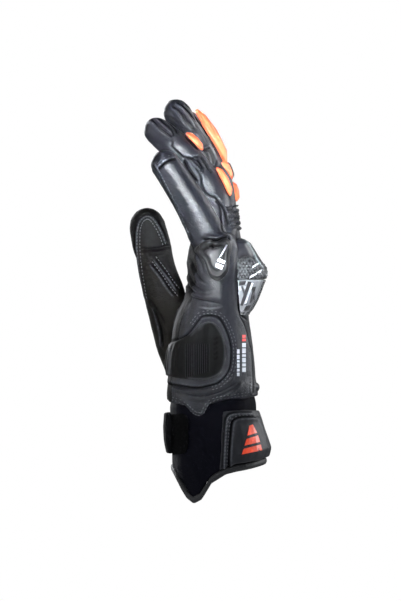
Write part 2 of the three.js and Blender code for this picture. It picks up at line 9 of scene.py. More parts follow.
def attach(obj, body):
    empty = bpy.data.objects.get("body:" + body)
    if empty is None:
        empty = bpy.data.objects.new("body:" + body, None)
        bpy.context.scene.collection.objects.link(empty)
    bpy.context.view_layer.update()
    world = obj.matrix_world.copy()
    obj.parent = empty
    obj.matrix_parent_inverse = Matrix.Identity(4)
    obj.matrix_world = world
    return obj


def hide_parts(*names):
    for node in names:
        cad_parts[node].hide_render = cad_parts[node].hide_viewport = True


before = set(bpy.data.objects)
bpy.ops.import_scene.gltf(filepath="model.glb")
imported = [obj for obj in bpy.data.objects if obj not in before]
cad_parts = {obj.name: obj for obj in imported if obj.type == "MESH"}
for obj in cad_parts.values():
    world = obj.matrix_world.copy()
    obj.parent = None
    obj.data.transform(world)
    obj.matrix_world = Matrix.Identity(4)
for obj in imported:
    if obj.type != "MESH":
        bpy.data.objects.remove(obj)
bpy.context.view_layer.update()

mm = 0.001


# Helpers for objects

def deselectAll():
    if bpy.context.object and bpy.context.object.mode != "OBJECT":
        bpy.ops.object.mode_set(mode="OBJECT")
    bpy.ops.object.select_all(action="DESELECT")


def pick(*pieces):
    deselectAll()
    for piece in pieces:
        piece.select_set(True)
    bpy.context.view_layer.objects.active = pieces[0]
    return pieces[0]


def applyModifier(piece, kind, **settings):
    modifier = piece.modifiers.new(kind.lower(), kind)
    for name, value in settings.items():
        setattr(modifier, name, value)
    pick(piece)
    bpy.ops.object.modifier_apply(modifier=modifier.name)


def settle(piece):  # the place goes into the mesh, as on a CAD node
    pick(piece)
    bpy.ops.object.transform_apply(location=True, rotation=True, scale=True)
    return piece


def named(piece, name):
    piece.name = name
    piece.data.name = name
    return piece


def edited(piece, step, **settings):  # one mesh tool on the whole piece
    pick(piece)
    bpy.ops.object.mode_set(mode="EDIT")
    bpy.ops.mesh.select_all(action="SELECT")
    step(**settings)
    bpy.ops.object.mode_set(mode="OBJECT")


def separated(piece, chosen):  # the chosen faces become a piece of their own
    pick(piece)
    bpy.ops.object.mode_set(mode="EDIT")
    bpy.ops.mesh.select_mode(type="FACE")
    bpy.ops.mesh.select_all(action="DESELECT")
    bpy.ops.object.mode_set(mode="OBJECT")
    piece.data.polygons.foreach_set("select", chosen)
    bpy.ops.object.mode_set(mode="EDIT")
    bpy.ops.mesh.separate(type="SELECTED")
    bpy.ops.object.mode_set(mode="OBJECT")
    return [other for other in bpy.context.selected_objects if other != piece][0]


def copyOf(name, *nodes):  # a loose copy of some CAD nodes, joined and with its doubles merged
    copies = []
    for node in nodes:
        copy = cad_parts[node].copy()
        copy.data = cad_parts[node].data.copy()
        copy.data.materials.clear()
        bpy.context.collection.objects.link(copy)
        copy.parent = None
        copy.matrix_world = Matrix.Identity(4)
        copies.append(copy)
    pick(*copies)
    if len(copies) > 1:
        bpy.ops.object.join()
    piece = named(bpy.context.object, name)
    edited(piece, bpy.ops.mesh.remove_doubles, threshold=0.01 * mm)
    edited(piece, bpy.ops.mesh.normals_make_consistent, inside=False)
    return piece


def finishPiece(piece, material, *nodes, slot=None):
    piece.data.materials.clear()
    piece.data.materials.append(material)
    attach(piece, "root")
    if nodes:
        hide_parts(*nodes)
    return piece


def smoothShade(piece, angle=None):
    pick(piece)
    if angle is None:
        bpy.ops.object.shade_smooth()
    else:
        bpy.ops.object.shade_smooth_by_angle(angle=math.radians(angle))


# Helpers for reading and moving the points of a mesh, in millimetres

def readTable(items, key, width, kind=float):  # one row for each point, edge or face
    flat = np.empty(len(items) * width, dtype=kind)
    items.foreach_get(key, flat)
    return flat.reshape(-1, width)


def readPoints(piece):
    return readTable(piece.data.vertices, "co", 3) / mm


def writePoints(piece, points):
    piece.data.vertices.foreach_set("co", (points * mm).ravel())
    piece.data.update()


def readNormals(piece):
    return readTable(piece.data.vertex_normals, "vector", 3)


def readEdges(piece):
    return readTable(piece.data.edges, "vertices", 2, np.int64)


def writeField(piece, name, values):
    field = piece.data.attributes.get(name) or piece.data.attributes.new(name, "FLOAT", "POINT")
    field.data.foreach_set("value", np.ascontiguousarray(values, dtype=np.float32))


def blankFields(piece):
    for name in ("crease", "suede", "lip", "gloss"):
        writeField(piece, name, np.zeros(len(piece.data.vertices)))


def averaged(values, edges, rounds, share=0.5):  # each point moves towards the mean of its neighbours
    count = len(values)
    links = np.concatenate([edges[:, 0], edges[:, 1]])
    ends = np.concatenate([edges[:, 1], edges[:, 0]])
    degree = np.maximum(np.bincount(links, minlength=count), 1)
    table = values.reshape(count, -1).astype(float)
    for _ in range(rounds):
        means = np.stack([np.bincount(links, weights=column[ends], minlength=count) / degree
                          for column in table.T], axis=1)
        table = table + share * (means - table)
    return table.reshape(values.shape)


def smoothNormals(piece, rounds=6):
    normals = averaged(readNormals(piece), readEdges(piece), rounds)
    return normals / np.maximum(np.linalg.norm(normals, axis=1, keepdims=True), 1e-9)


def rippled(points, seed, shortest, longest, waves=28):  # smooth unevenness between about -1 and 1
    rng = np.random.default_rng(seed)
    total = np.zeros(len(points))
    for _ in range(waves):
        heading = rng.normal(size=3)
        heading /= np.linalg.norm(heading)
        length = rng.uniform(shortest, longest)
        total += np.sin(points @ heading * (2 * math.pi / length) + rng.uniform(0, 2 * math.pi))
    return total / math.sqrt(waves / 2) / 2


def ramp(value, low, high):
    share = np.clip((value - low) / (high - low), 0, 1)
    return share * share * (3 - 2 * share)


def curved(corners, spacing=1.0):  # a smooth curve through given points
    corners = np.array(corners, float)
    padded = np.vstack([2 * corners[0] - corners[1], corners, 2 * corners[-1] - corners[-2]])
    made = []
    for a, b, c, d in zip(padded, padded[1:], padded[2:], padded[3:]):
        steps = max(1, int(np.linalg.norm(c - b) / spacing))
        for t in np.arange(steps) / steps:
            made.append(0.5 * (2 * b + (c - a) * t + (2 * a - 5 * b + 4 * c - d) * t ** 2
                               + (3 * b - a - 3 * c + d) * t ** 3))
    made.append(corners[-1])
    return np.array(made)


def distanceTo(flat, path):  # for each flat point: distance, side, length along the path, whole length
    best = np.full(len(flat), 1e9)
    side = np.zeros(len(flat))
    along = np.zeros(len(flat))
    start = 0.0
    for a, b in zip(path, path[1:]):
        span = b - a
        length = np.linalg.norm(span)
        if length < 1e-9:
            continue
        offset = flat - a
        share = np.clip(offset @ span / length ** 2, 0, 1)
        away = offset - share[:, None] * span
        distance = np.hypot(away[:, 0], away[:, 1])
        nearer = distance < best
        best[nearer] = distance[nearer]
        side[nearer] = np.sign(span[0] * offset[nearer, 1] - span[1] * offset[nearer, 0])
        along[nearer] = start + share[nearer] * length
        start += length
    return best, side, along, start


# Camera and light

view = {"centre": (-6.7, 0, 63.7), "height": 384.6, "distance": 7000}
bpy.ops.object.camera_add(
    location=(view["centre"][0] * mm, -view["distance"] * mm, view["centre"][2] * mm),
    rotation=(math.pi / 2, 0, 0))
camera = bpy.context.object
camera.data.sensor_width = 36
camera.data.lens = 36 * view["distance"] / view["height"]
camera.data.clip_end = 100
bpy.context.scene.camera = camera

lamps = {
    "keyLamp": {"place": (0.35, -2.5, 0.95), "size": (1.0, 1.2), "power": 30, "tint": (0.88, 0.94, 1.0)},
    "sideLamp": {"place": (-2.3, -1.3, 0.0), "size": (0.5, 2.4), "power": 26, "tint": (0.88, 0.94, 1.0)},
    "fingerLamp": {"place": (0.14, -1.5, 0.36), "size": (0.16, 0.17), "power": 0.45,
                   "tint": (0.90, 0.95, 1.0), "aim": (-0.010, -0.03, 0.140), "spread": 9},
    "palmLamp": {"place": (-2.5, 0.2, 0.3), "size": (0.3, 1.4), "power": 10, "tint": (1.0, 0.97, 0.92)},
    "edgeLamp": {"place": (2.3, -0.05, 0.2), "size": (0.3, 1.6), "power": 8, "tint": (0.92, 0.96, 1.0)},
    "backLamp": {"place": (2.2, 1.5, 0.9), "size": (0.8, 1.4), "power": 40, "tint": (0.95, 0.97, 1.0)},
    "thumbLamp": {"place": (-1.2, 2.4, 0.8), "size": (0.8, 1.4), "power": 40, "tint": (0.95, 0.97, 1.0)},
    "topLamp": {"place": (-0.6, -1.2, 2.3), "size": (0.5, 0.5), "power": 16, "tint": (1.0, 1.0, 1.0)},
}
for name, lamp in lamps.items():
    bpy.ops.object.light_add(type="AREA", location=lamp["place"])
    light = bpy.context.object
    light.name = name
    light.data.shape = "RECTANGLE"
    light.data.size, light.data.size_y = lamp["size"]
    light.data.energy = lamp["power"]
    light.data.color = lamp["tint"]
    light.data.spread = math.radians(lamp.get("spread", 180))
    aim = Vector(lamp.get("aim", (0, 0, 0.06))) - Vector(lamp["place"])
    light.rotation_euler = aim.to_track_quat("-Z", "Y").to_euler()

world = bpy.data.worlds.new("paleRoom")
bpy.context.scene.world = world
world.use_nodes = True
room = {"seen": 1.0, "light": 0.025}  # the backdrop is white to the eye and lights the glove only a little
background = world.node_tree.nodes["Background"]
background.inputs["Color"].default_value = (1, 1, 1, 1)
lightPath = world.node_tree.nodes.new("ShaderNodeLightPath")
strength = world.node_tree.nodes.new("ShaderNodeMix")
strength.inputs[2].default_value = room["light"]
strength.inputs[3].default_value = room["seen"]
world.node_tree.links.new(lightPath.outputs["Is Camera Ray"], strength.inputs[0])
world.node_tree.links.new(strength.outputs[0], background.inputs["Strength"])
bpy.context.scene.view_settings.view_transform = "Standard"


# Shader writing

class Wire:  # a socket that sums and products can be written with
    def __init__(self, finish, socket):
        self.finish = finish
        self.socket = socket

    def sum(self, operation, first, second):
        return self.finish.add("Math", {"operation": operation}, {0: first, 1: second})

    def __add__(self, other):
        return self.sum("ADD", self, other)

    def __rsub__(self, other):
        return self.sum("SUBTRACT", other, self)

    def __mul__(self, other):
        return self.sum("MULTIPLY", self, other)

    def __lt__(self, other):
        return self.sum("LESS_THAN", self, other)


class Finish:  # one material and the nodes that it is built from
    def __init__(self, name):
        self.material = bpy.data.materials.new(name)
        self.material.use_nodes = True
        self.tree = self.material.node_tree
        self.surface = self.tree.nodes["Principled BSDF"]
        self.place = self.add("TexCoord", {}, {}, "Object")

    def add(self, kind, settings, inputs, output=0):
        node = self.tree.nodes.new("ShaderNode" + kind)
        for name, value in settings.items():
            setattr(node, name, value)
        self.feed(node, inputs)
        return Wire(self, node.outputs[output])

    def feed(self, node, inputs):
        for name, value in inputs.items():
            socket = node.inputs[name]
            if isinstance(value, Wire):
                self.tree.links.new(value.socket, socket)
            elif isinstance(value, tuple) and len(socket.default_value) == 4:
                socket.default_value = (*value[:3], 1)
            else:
                socket.default_value = value

    def stretched(self, scale, turn=(0, 0, 0)):
        return self.add("Mapping", {}, {"Vector": self.place, "Scale": scale, "Rotation": turn})

    def noise(self, scale, detail=3, rough=0.55, vector=None):
        return self.add("TexNoise", {}, {"Vector": vector or self.place, "Scale": scale,
                                         "Detail": detail, "Roughness": rough})

    def cells(self, scale, vector=None, feature="F1"):
        return self.add("TexVoronoi", {"feature": feature},
                        {"Vector": vector or self.place, "Scale": scale}, "Distance")

    def blend(self, share, low, high):
        inputs = {"Factor": share, 6: low, 7: high}
        return self.add("Mix", {"data_type": "RGBA"}, inputs, 2)

    def between(self, value, low, high, fromLow=0, fromHigh=1):
        return self.add("MapRange", {}, {"Value": value, "From Min": fromLow, "From Max": fromHigh,
                                         "To Min": low, "To Max": high})

    def field(self, name):
        return self.add("Attribute", {"attribute_name": name}, {}, "Fac")

    def bump(self, height, strength, distance, normal=None):
        inputs = {"Height": height, "Strength": strength, "Distance": distance * mm}
        if normal is not None:
            inputs["Normal"] = normal
        return self.add("Bump", {}, inputs)

    def look(self, **inputs):
        words = {"colour": "Base Color", "rough": "Roughness", "metal": "Metallic", "normal": "Normal",
                 "coat": "Coat Weight", "coatRough": "Coat Roughness", "sheen": "Sheen Weight",
                 "specular": "Specular IOR Level", "glow": "Emission Color", "glowing": "Emission Strength"}
        self.feed(self.surface, {words[name]: value for name, value in inputs.items()})
        return self.material


# Materials

# edge is a painted highlight colour for seam lips, crease a painted shade colour for the cuts
leatherLook = {"tone": (0.0060, 0.0066, 0.0100), "worn": (0.0110, 0.0120, 0.0170), "rough": (0.30, 0.40),
               "edge": (0.115, 0.120, 0.138), "suede": (0.0052, 0.0045, 0.0034),
               "crease": (0.0015, 0.0015, 0.002), "grain": 1500, "folds": 330}


def hideFinish(name, tone, worn, rough, grainDepth=0.10, foldDepth=0.55, specular=0.38):
    finish = Finish(name)
    pores = finish.cells(leatherLook["grain"], feature="SMOOTH_F1")
    fine = finish.noise(leatherLook["grain"] * 0.45, 4, 0.65)
    patches = finish.noise(38, 3, 0.6)
    across = finish.stretched((0.5, 0.5, 1.0), (0, 0.5, 0))
    folds = finish.noise(leatherLook["folds"], 6, 0.72, across)
    folds = folds + finish.noise(leatherLook["folds"] * 0.37, 3, 0.6) * 1.5
    crease = finish.field("crease")
    suede = finish.field("suede")
    lip = finish.field("lip")
    colour = finish.blend(finish.between(patches, 0, 1, 0.35, 0.7), tone, worn)
    colour = finish.blend(suede, colour, leatherLook["suede"])
    # painted highlight: a pale colour laid along the lips beside seams and on ridges
    colour = finish.blend(lip * finish.between(fine, 0.3, 1.0, 0.4, 0.65), colour, leatherLook["edge"])
    # painted shade: the cuts and pleats are filled with near-black
    colour = finish.blend(crease * 0.9, colour, leatherLook["crease"])
    shine = finish.between(patches * 0.4 + fine, rough[0], rough[1], 0.4, 1.0)
    shine = shine + crease * 0.5 + suede * 0.16 + (1 - finish.field("gloss")) * 0.06
    grain = finish.bump(pores * 0.4 + fine, 0.7, grainDepth)
    normal = finish.bump(folds, 0.75, foldDepth, grain)
    # the painted shade is also made metallic, so the cuts reflect almost nothing
    return finish.look(colour=colour, rough=shine, normal=normal, specular=specular, metal=crease * 0.96)


leather = hideFinish("blackLeather", leatherLook["tone"], leatherLook["worn"], leatherLook["rough"])
palmLeather = hideFinish("palmLeather", (0.0030, 0.0029, 0.0030), (0.0048, 0.0045, 0.0044), (0.52, 0.62),
                         grainDepth=0.16, foldDepth=0.5, specular=0.09)
smoothLeather = hideFinish("smoothLeather", (0.0075, 0.0080, 0.0110), (0.0115, 0.0120, 0.0155), (0.44, 0.54),
                           grainDepth=0.08, foldDepth=0.12, specular=0.3)


def liningFinish():
    finish = Finish("knitLining")
    weave = finish.noise(900, 3, 0.6, finish.stretched((1, 1, 0.3)))
    colour = finish.blend(weave, (0.006, 0.006, 0.007), (0.016, 0.016, 0.018))
    return finish.look(colour=colour, rough=0.9, normal=finish.bump(weave, 0.6, 0.3), sheen=0.2)


def clothFinish():
    finish = Finish("coatedTextile")
    twill = finish.add("TexWave", {"wave_type": "BANDS", "bands_direction": "DIAGONAL"},
                       {"Vector": finish.place, "Scale": 420, "Distortion": 0.6, "Detail": 1})
    fibres = finish.noise(2600, 3, 0.7)
    patches = finish.noise(45, 2, 0.5)
    colour = finish.blend(patches, (0.0012, 0.0012, 0.0026), (0.0030, 0.0030, 0.0056))
    colour = finish.blend(twill * 0.35, colour, (0.0050, 0.0050, 0.0088))
    normal = finish.bump(twill + fibres * 0.7, 0.5, 0.16)
    return finish.look(colour=colour, rough=finish.between(fibres, 0.55, 0.78), normal=normal,
                       specular=0.03)


def tapeFinish():
    finish = Finish("bindingTape")
    ribs = finish.add("TexWave", {"wave_type": "BANDS", "bands_direction": "X"},
                      {"Vector": finish.place, "Scale": 330, "Distortion": 1.2, "Detail": 2})
    fibres = finish.noise(2200, 3, 0.6)
    colour = finish.blend(fibres, (0.0045, 0.0045, 0.005), (0.012, 0.012, 0.0135))
    return finish.look(colour=colour, rough=0.62, specular=0.4,
                       normal=finish.bump(ribs + fibres, 0.5, 0.15))


def webFinish():
    finish = Finish("strapWeb")
    knit = finish.cells(900)
    fibres = finish.noise(3000, 3, 0.7)
    colour = finish.blend(knit, (0.0025, 0.0025, 0.003), (0.006, 0.006, 0.0068))
    return finish.look(colour=colour, rough=0.8, normal=finish.bump(knit + fibres, 0.6, 0.2), specular=0.04)


def pileFinish():
    finish = Finish("loopPile")
    loops = finish.cells(1500)
    fibres = finish.noise(3500, 4, 0.75)
    colour = finish.blend(fibres * loops, (0.0012, 0.0012, 0.0014), (0.007, 0.007, 0.0075))
    return finish.look(colour=colour, rough=0.95, normal=finish.bump(loops + fibres, 1.0, 0.5), specular=0.03)


def rubberFinish(name, low, high, rough, specular=0.32):
    finish = Finish(name)
    fine = finish.noise(1800, 4, 0.6)
    scuffs = finish.noise(60, 4, 0.7, finish.stretched((1, 1, 0.25)))
    colour = finish.blend(scuffs, low, high)
    # painted highlight on lips and ridges, and painted shade (dark and metallic) in the cuts
    colour = finish.blend(finish.field("lip") * 0.6, colour, (0.11, 0.113, 0.122))
    colour = finish.blend(finish.field("crease") * 0.85, colour, (0.001, 0.001, 0.0012))
    return finish.look(colour=colour, rough=finish.between(scuffs, *rough), specular=specular,
                       metal=finish.field("crease") * 0.96, normal=finish.bump(fine, 0.3, 0.08))


def threadFinish():
    finish = Finish("sewingThread")
    twist = finish.noise(4200, 2, 0.6)
    colour = finish.blend(twist, (0.026, 0.027, 0.032), (0.085, 0.088, 0.10))
    return finish.look(colour=colour, rough=0.5, normal=finish.bump(twist, 0.4, 0.05))


def printFinish(name, low, high):  # a thick rubbery print
    finish = Finish(name)
    wear = finish.noise(420, 4, 0.7)
    colour = finish.blend(finish.between(wear, 0, 1, 0.35, 0.65), low, high)
    return finish.look(colour=colour, rough=finish.between(wear, 0.32, 0.5),
                       normal=finish.bump(wear, 0.2, 0.04))


def weaveFinish():  # smooth leather that turns into an open mesh where the mesh field says so
    finish = Finish("guardWeave")
    mesh = finish.field("mesh")
    holes = finish.cells(520, feature="F1")
    fine = finish.noise(1500, 3, 0.6)
    hole = (holes < 0.32) * mesh
    colour = finish.blend(fine, (0.008, 0.0085, 0.012), (0.013, 0.0135, 0.018))
    colour = finish.blend(mesh * finish.between(holes, 0, 1, 0.4, 0.7), colour, (0.045, 0.047, 0.052))
    colour = finish.blend(hole, colour, (0.001, 0.001, 0.001))
    # painted highlight along the piping ridge, and painted shade in the cuts
    colour = finish.blend(finish.field("lip"), colour, (0.42, 0.44, 0.47))
    colour = finish.blend(finish.field("crease") * 0.9, colour, (0.0015, 0.0015, 0.002))
    normal = finish.bump(fine * 0.4 + holes * mesh, 0.8, 0.45)
    return finish.look(colour=colour, rough=finish.between(fine, 0.32, 0.46), normal=normal, specular=0.5)


def shellFinish():
    finish = Finish("shellGloss")
    haze = finish.noise(90, 3, 0.6)
    fine = finish.noise(1400, 2, 0.5)
    scuffs = finish.noise(260, 4, 0.7, finish.stretched((1, 1, 0.2), (0, 0.5, 0)))
    colour = finish.blend(haze, (0.22, 0.225, 0.24), (0.38, 0.39, 0.41))
    colour = finish.blend(finish.between(scuffs, 0, 0.45, 0.56, 0.66), colour, (0.12, 0.122, 0.13))
    # painted shade in the carved grooves
    colour = finish.blend(finish.field("crease"), colour, (0.003, 0.003, 0.004))
    return finish.look(colour=colour, rough=finish.between(haze, 0.20, 0.32), metal=0.25, coat=0.5,
                       coatRough=0.1, normal=finish.bump(fine + scuffs, 0.15, 0.06))


def orangeFinish():
    finish = Finish("orangeLeather")
    pores = finish.cells(1500, feature="SMOOTH_F1")
    patches = finish.noise(120, 3, 0.6)
    colour = finish.blend(patches, (0.95, 0.13, 0.045), (1.0, 0.19, 0.08))
    return finish.look(colour=colour, rough=0.42, normal=finish.bump(pores, 0.3, 0.08), specular=0.5,
                       glow=(1.0, 0.16, 0.06), glowing=0.28)  # painted light: the pads glow orange though they are no lamp, which brightens them as if lit


lining = liningFinish()
textile = clothFinish()
bindingTape = tapeFinish()
strapWeb = webFinish()
loopPile = pileFinish()
guardRubber = rubberFinish("guardRubber", (0.0055, 0.0057, 0.0065), (0.010, 0.0102, 0.0115), (0.40, 0.54))
sliderRubber = rubberFinish("sliderRubber", (0.0020, 0.0020, 0.0022), (0.0042, 0.0041, 0.0040), (0.50, 0.62),
                            specular=0.10)
studRubber = rubberFinish("studRubber", (0.055, 0.057, 0.062), (0.12, 0.123, 0.13), (0.28, 0.40))
guardWeave = weaveFinish()
shellGloss = shellFinish()
thread = threadFinish()
palePrint = printFinish("palePrint", (0.48, 0.50, 0.53), (0.66, 0.68, 0.72))
greyPrint = printFinish("greyPrint", (0.10, 0.102, 0.108), (0.20, 0.205, 0.215))
darkPrint = printFinish("darkPrint", (0.004, 0.004, 0.005), (0.012, 0.012, 0.014))
redPrint = printFinish("redPrint", (0.62, 0.018, 0.012), (0.78, 0.035, 0.02))
orangePrint = printFinish("orangePrint", (0.86, 0.055, 0.012), (0.95, 0.085, 0.022))
orangeLeather = orangeFinish()

# The hide: the outer skin of the hand and digits, made from the CAD shells

hide = {"voxel": 0.66, "closing": 0.25, "smoothing": 34, "fitting": 25, "islands": 16, "split": 97.0}
handCore = {"side": 30, "low": -40, "high": 86, "backDeep": 24, "palmDeep": 15.5, "wide": 20,
            "fingersFrom": 101}
sections = {"step": 2.0, "reach": 6}  # of the digits
handNodes = ["back_of_hand", "palm", "outer_side", "thumb_side"]
digitNodes = ["little_finger", "ring_finger", "middle_finger", "index_finger", "thumb"]


def middleLine(node):  # the middle of a digit at each height, and its half width
    points = readPoints(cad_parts[node])
    low, high = points[:, 2].min(), points[:, 2].max()
    levels = np.arange(low + sections["step"], high - sections["step"], sections["step"])
    rows = []
    for level in levels:
        ring = points[np.abs(points[:, 2] - level) < sections["reach"]]
        low, high = ring.min(0), ring.max(0)
        rows.append([(low[0] + high[0]) / 2, (low[1] + high[1]) / 2, level, (high - low)[:2].mean() / 2])
    return averagedRows(np.array(rows))


def averagedRows(rows, rounds=4):
    for _ in range(rounds):
        rows[1:-1] = (rows[:-2] + 2 * rows[1:-1] + rows[2:]) / 4
    return rows


middleLines = {node: middleLine(node) for node in digitNodes}


def fromMiddle(points, node):  # offset from a digit's middle line, in its half widths
    line = middleLines[node]
    tip = line[-1, 2] - line[-1, 3]
    height = np.clip(points[:, 2], line[0, 2], tip)
    centre = np.stack([np.interp(height, line[:, 2], line[:, column]) for column in (0, 1, 2)], axis=1)
    half = np.interp(height, line[:, 2], line[:, 3])
    offset = points - centre
    return offset, np.linalg.norm(offset, axis=1) / half


def facesOut(points, normals):
    core = np.stack([np.zeros(len(points)), np.clip(points[:, 1], -handCore["side"], handCore["side"]),
                     np.clip(points[:, 2], handCore["low"], handCore["high"])], axis=1)
    nearestOffset = points - core
    deep = np.where(nearestOffset[:, 0] > 0, handCore["backDeep"], handCore["palmDeep"])
    wide = np.full(len(points), float(handCore["wide"]))
    nearest = np.linalg.norm(nearestOffset / np.stack([deep, wide, wide], axis=1), axis=1)
    for node in digitNodes:
        offset, reach = fromMiddle(points, node)
        closer = reach < nearest
        if node != "thumb":
            closer &= points[:, 2] > handCore["fingersFrom"]
        nearest = np.where(closer, reach, nearest)
        nearestOffset = np.where(closer[:, None], offset, nearestOffset)
    return np.einsum("ij,ij->i", nearestOffset, normals) > 0


def outerAndInner(piece):
    faces, count = piece.data.polygons, len(piece.data.vertices)
    corners = readTable(faces, "vertices", 4, np.int64)
    outward = facesOut(readTable(faces, "center", 3) / mm, readTable(faces, "normal", 3)).astype(float)
    for _ in range(hide["islands"]):  # small islands take the side of their neighbours
        atPoints = np.bincount(corners.ravel(), weights=np.repeat(outward, 4), minlength=count)
        atPoints /= np.maximum(np.bincount(corners.ravel(), minlength=count), 1)
        outward = atPoints[corners].mean(axis=1)
    inner = separated(piece, outward < 0.5)
    return largestPart(piece), largestPart(inner)


def largestPart(piece):
    edited(piece, bpy.ops.mesh.separate, type="LOOSE")
    parts = sorted(bpy.context.selected_objects, key=lambda part: len(part.data.vertices))
    for part in parts[:-1]:
        bpy.data.objects.remove(part)
    return parts[-1]


def pulledBack(points, surface):  # signed distance from the CAD surface, outside above zero
    distances = np.zeros(len(points))
    for index, point in enumerate(points * mm):
        spot, normal, _, distance = surface.find_nearest(point)
        sign = 1 if (Vector(point) - spot).dot(normal) > 0 else -1
        distances[index] = sign * distance / mm
    return distances


def makeHide():
    piece = copyOf("hide", *handNodes, *digitNodes)
    surface = BVHTree.FromObject(piece, bpy.context.evaluated_depsgraph_get())
    applyModifier(piece, "DISPLACE", strength=hide["closing"] * mm, mid_level=0)
    applyModifier(piece, "REMESH", mode="VOXEL", voxel_size=hide["voxel"] * mm)
    outer, inner = outerAndInner(piece)
    print("hide:", len(outer.data.polygons), "faces outside,", len(inner.data.polygons), "inside")
    edges = readEdges(outer)
    points = averaged(readPoints(outer), edges, hide["smoothing"])
    writePoints(outer, points)
    off = averaged(pulledBack(points, surface), edges, hide["fitting"])
    writePoints(outer, points - off[:, None] * smoothNormals(outer))
    return outer, inner


hidePiece, liningPiece = makeHide()
liningPiece.name = "innerLining"
applyModifier(liningPiece, "DECIMATE", ratio=0.12)
smoothShade(liningPiece)
finishPiece(liningPiece, lining, slot="leather")


# Carving: seams, pleats and folds drawn as lines on one side of the glove

planes = {"side": [0, 2], "back": [1, 2]}
depthOf = {"side": 1, "back": 0}
cutLook = {"shadow": 0.75, "shine": 0.6, "shineAside": 1.25}  # half widths of the painted shadow and painted highlight, and how far the highlight lies off
seamSwell = {"over": 2.8, "under": 1.8, "underShare": 0.4}


class Carving:
    def __init__(self, piece):
        self.piece = piece
        self.points = readPoints(piece)
        self.normals = smoothNormals(piece)
        self.raised = np.zeros(len(self.points))
        self.across = np.zeros(len(self.points))
        # masks of painted shade and painted highlight, laid along the carved lines
        self.crease = np.zeros(len(self.points))
        self.lip = np.zeros(len(self.points))

    def line(self, corners, where, shape, taper, dark=0.0, pale=0.0, **sizes):
        path = curved(corners)
        flat = self.points[:, planes["side"]]
        reach = sizes.get("width", 1.0) * 4 + 3
        near = (flat > path.min(0) - reach).all(1) & (flat < path.max(0) + reach).all(1) & (where > 0.01)
        index = np.flatnonzero(near)
        if not len(index):
            return
        distance, side, along, length = distanceTo(flat[index], path)
        fade = ramp(along, 0, taper) * ramp(length - along, 0, taper) if taper else 1.0
        fade = fade * where[index]
        moved = self.across if shape is pleat else self.raised
        moved[index] += shape(distance, side, **sizes) * fade
        # painted shade laid into the cut
        if dark:
            shadow = dark * fade * np.exp(-(distance / cutLook["shadow"]) ** 2)
            self.crease[index] = np.maximum(self.crease[index], shadow)
        # painted highlight laid on the lip beside the cut, or on a ridge's crest
        if pale:
            signed = distance * side * sizes.get("over", 1) - cutLook["shineAside"]
            signed = distance if shape is ridge else signed
            shine = pale * fade * np.exp(-(signed / cutLook["shine"]) ** 2)
            self.lip[index] = np.maximum(self.lip[index], shine)

    def push(self, amount, where=None):
        self.raised += amount if where is None else amount * where

    def settle(self):
        self.points = self.points + self.normals * self.raised[:, None]
        self.points[:, 1] += self.across * np.sign(self.normals[:, 1])
        self.raised[:] = 0
        self.across[:] = 0
        writePoints(self.piece, self.points)
        self.normals = smoothNormals(self.piece, 2)
        # the painted shade and painted highlight go onto the piece as point fields
        writeField(self.piece, "crease", self.crease)
        writeField(self.piece, "lip", self.lip * (1 - self.crease))


def groove(distance, side, width=0.8, depth=0.5, over=1):
    return -depth * np.exp(-(distance / width) ** 2)


def ridge(distance, side, width=1.2, height=0.6, over=1):
    return height * np.exp(-(distance / width) ** 2)


def seam(distance, side, width=0.65, depth=0.75, height=0.55, over=1):  # one panel lies over the other
    above = np.exp(-(distance / seamSwell["over"]) ** 2)
    below = -seamSwell["underShare"] * np.exp(-(distance / seamSwell["under"]) ** 2)
    return groove(distance, side, width, depth) + height * np.where(side * over > 0, above, below)


def fold(distance, side, width=1.6, height=0.8, over=1):  # a soft roll of leather beside a sharp valley
    signed = distance * side * over
    roll = height * np.exp(-((signed - width) / width) ** 2)
    valley = -0.9 * height * np.exp(-(signed / (0.45 * width)) ** 2)
    return roll + valley


def pleat(distance, side, width=0.75, depth=1.7, lip=0.8, over=1):  # a deep slot between two rounded rolls
    rolls = lip * np.exp(-((distance - 2.1 * width) / (0.9 * width)) ** 2)
    return -depth * np.exp(-(distance / width) ** 2) + rolls


def toDigit(corners, fromNode, toNode):  # a line on one digit, carried over to another
    first, second = middleLines[fromNode], middleLines[toNode]
    moved = []
    for x, z in corners:
        share = (z - first[0, 2]) / (first[-1, 2] - first[0, 2])
        across = (x - np.interp(z, first[:, 2], first[:, 0])) / np.interp(z, first[:, 2], first[:, 3])
        height = second[0, 2] + share * (second[-1, 2] - second[0, 2])
        middle = np.interp(height, second[:, 2], second[:, 0])
        moved.append((middle + across * np.interp(height, second[:, 2], second[:, 3]), height))
    return moved


fingerGap = 11.7  # half the distance between two fingers
ringLines = {
    "pleatLow": [(-39.0, 180.1), (-35.3, 176.4), (-31.9, 172.7), (-28.3, 170.0), (-23.7, 166.9)],
    "pleatMiddle": [(-34.9, 181.0), (-33.2, 179.5), (-30.1, 176.7), (-27.1, 174.3), (-24.6, 171.2),
                    (-23.4, 167.2)],
    "pleatHigh": [(-30.7, 180.8), (-27.4, 177.7), (-24.0, 174.0), (-22.1, 170.9), (-21.6, 168.4)],
    "panelEdge": [(-24.0, 166.0), (-25.0, 162.0), (-20.9, 158.1), (-17.9, 155.6), (-14.8, 155.0),
                  (-10.9, 155.0), (-7.0, 155.6)],
    "leafOuter": [(-14.8, 154.7), (-11.8, 153.2), (-8.7, 150.1), (-6.5, 146.7), (-6.0, 144.0)],
    "leafInner": [(-10.9, 154.0), (-8.7, 152.5), (-6.5, 149.4), (-5.1, 145.9)],
    "leafLow": [(-17.5, 153.8), (-15.5, 149.0), (-11.8, 143.6), (-8.0, 139.5)],
    "padEdge": [(-17.0, 169.9), (-14.1, 166.0), (-10.9, 162.6), (-7.7, 160.1), (-3.2, 160.1)],
    "jointSeam": [(-7.0, 155.6), (-4.5, 152.0), (-1.5, 147.5), (1.0, 144.5)],
}
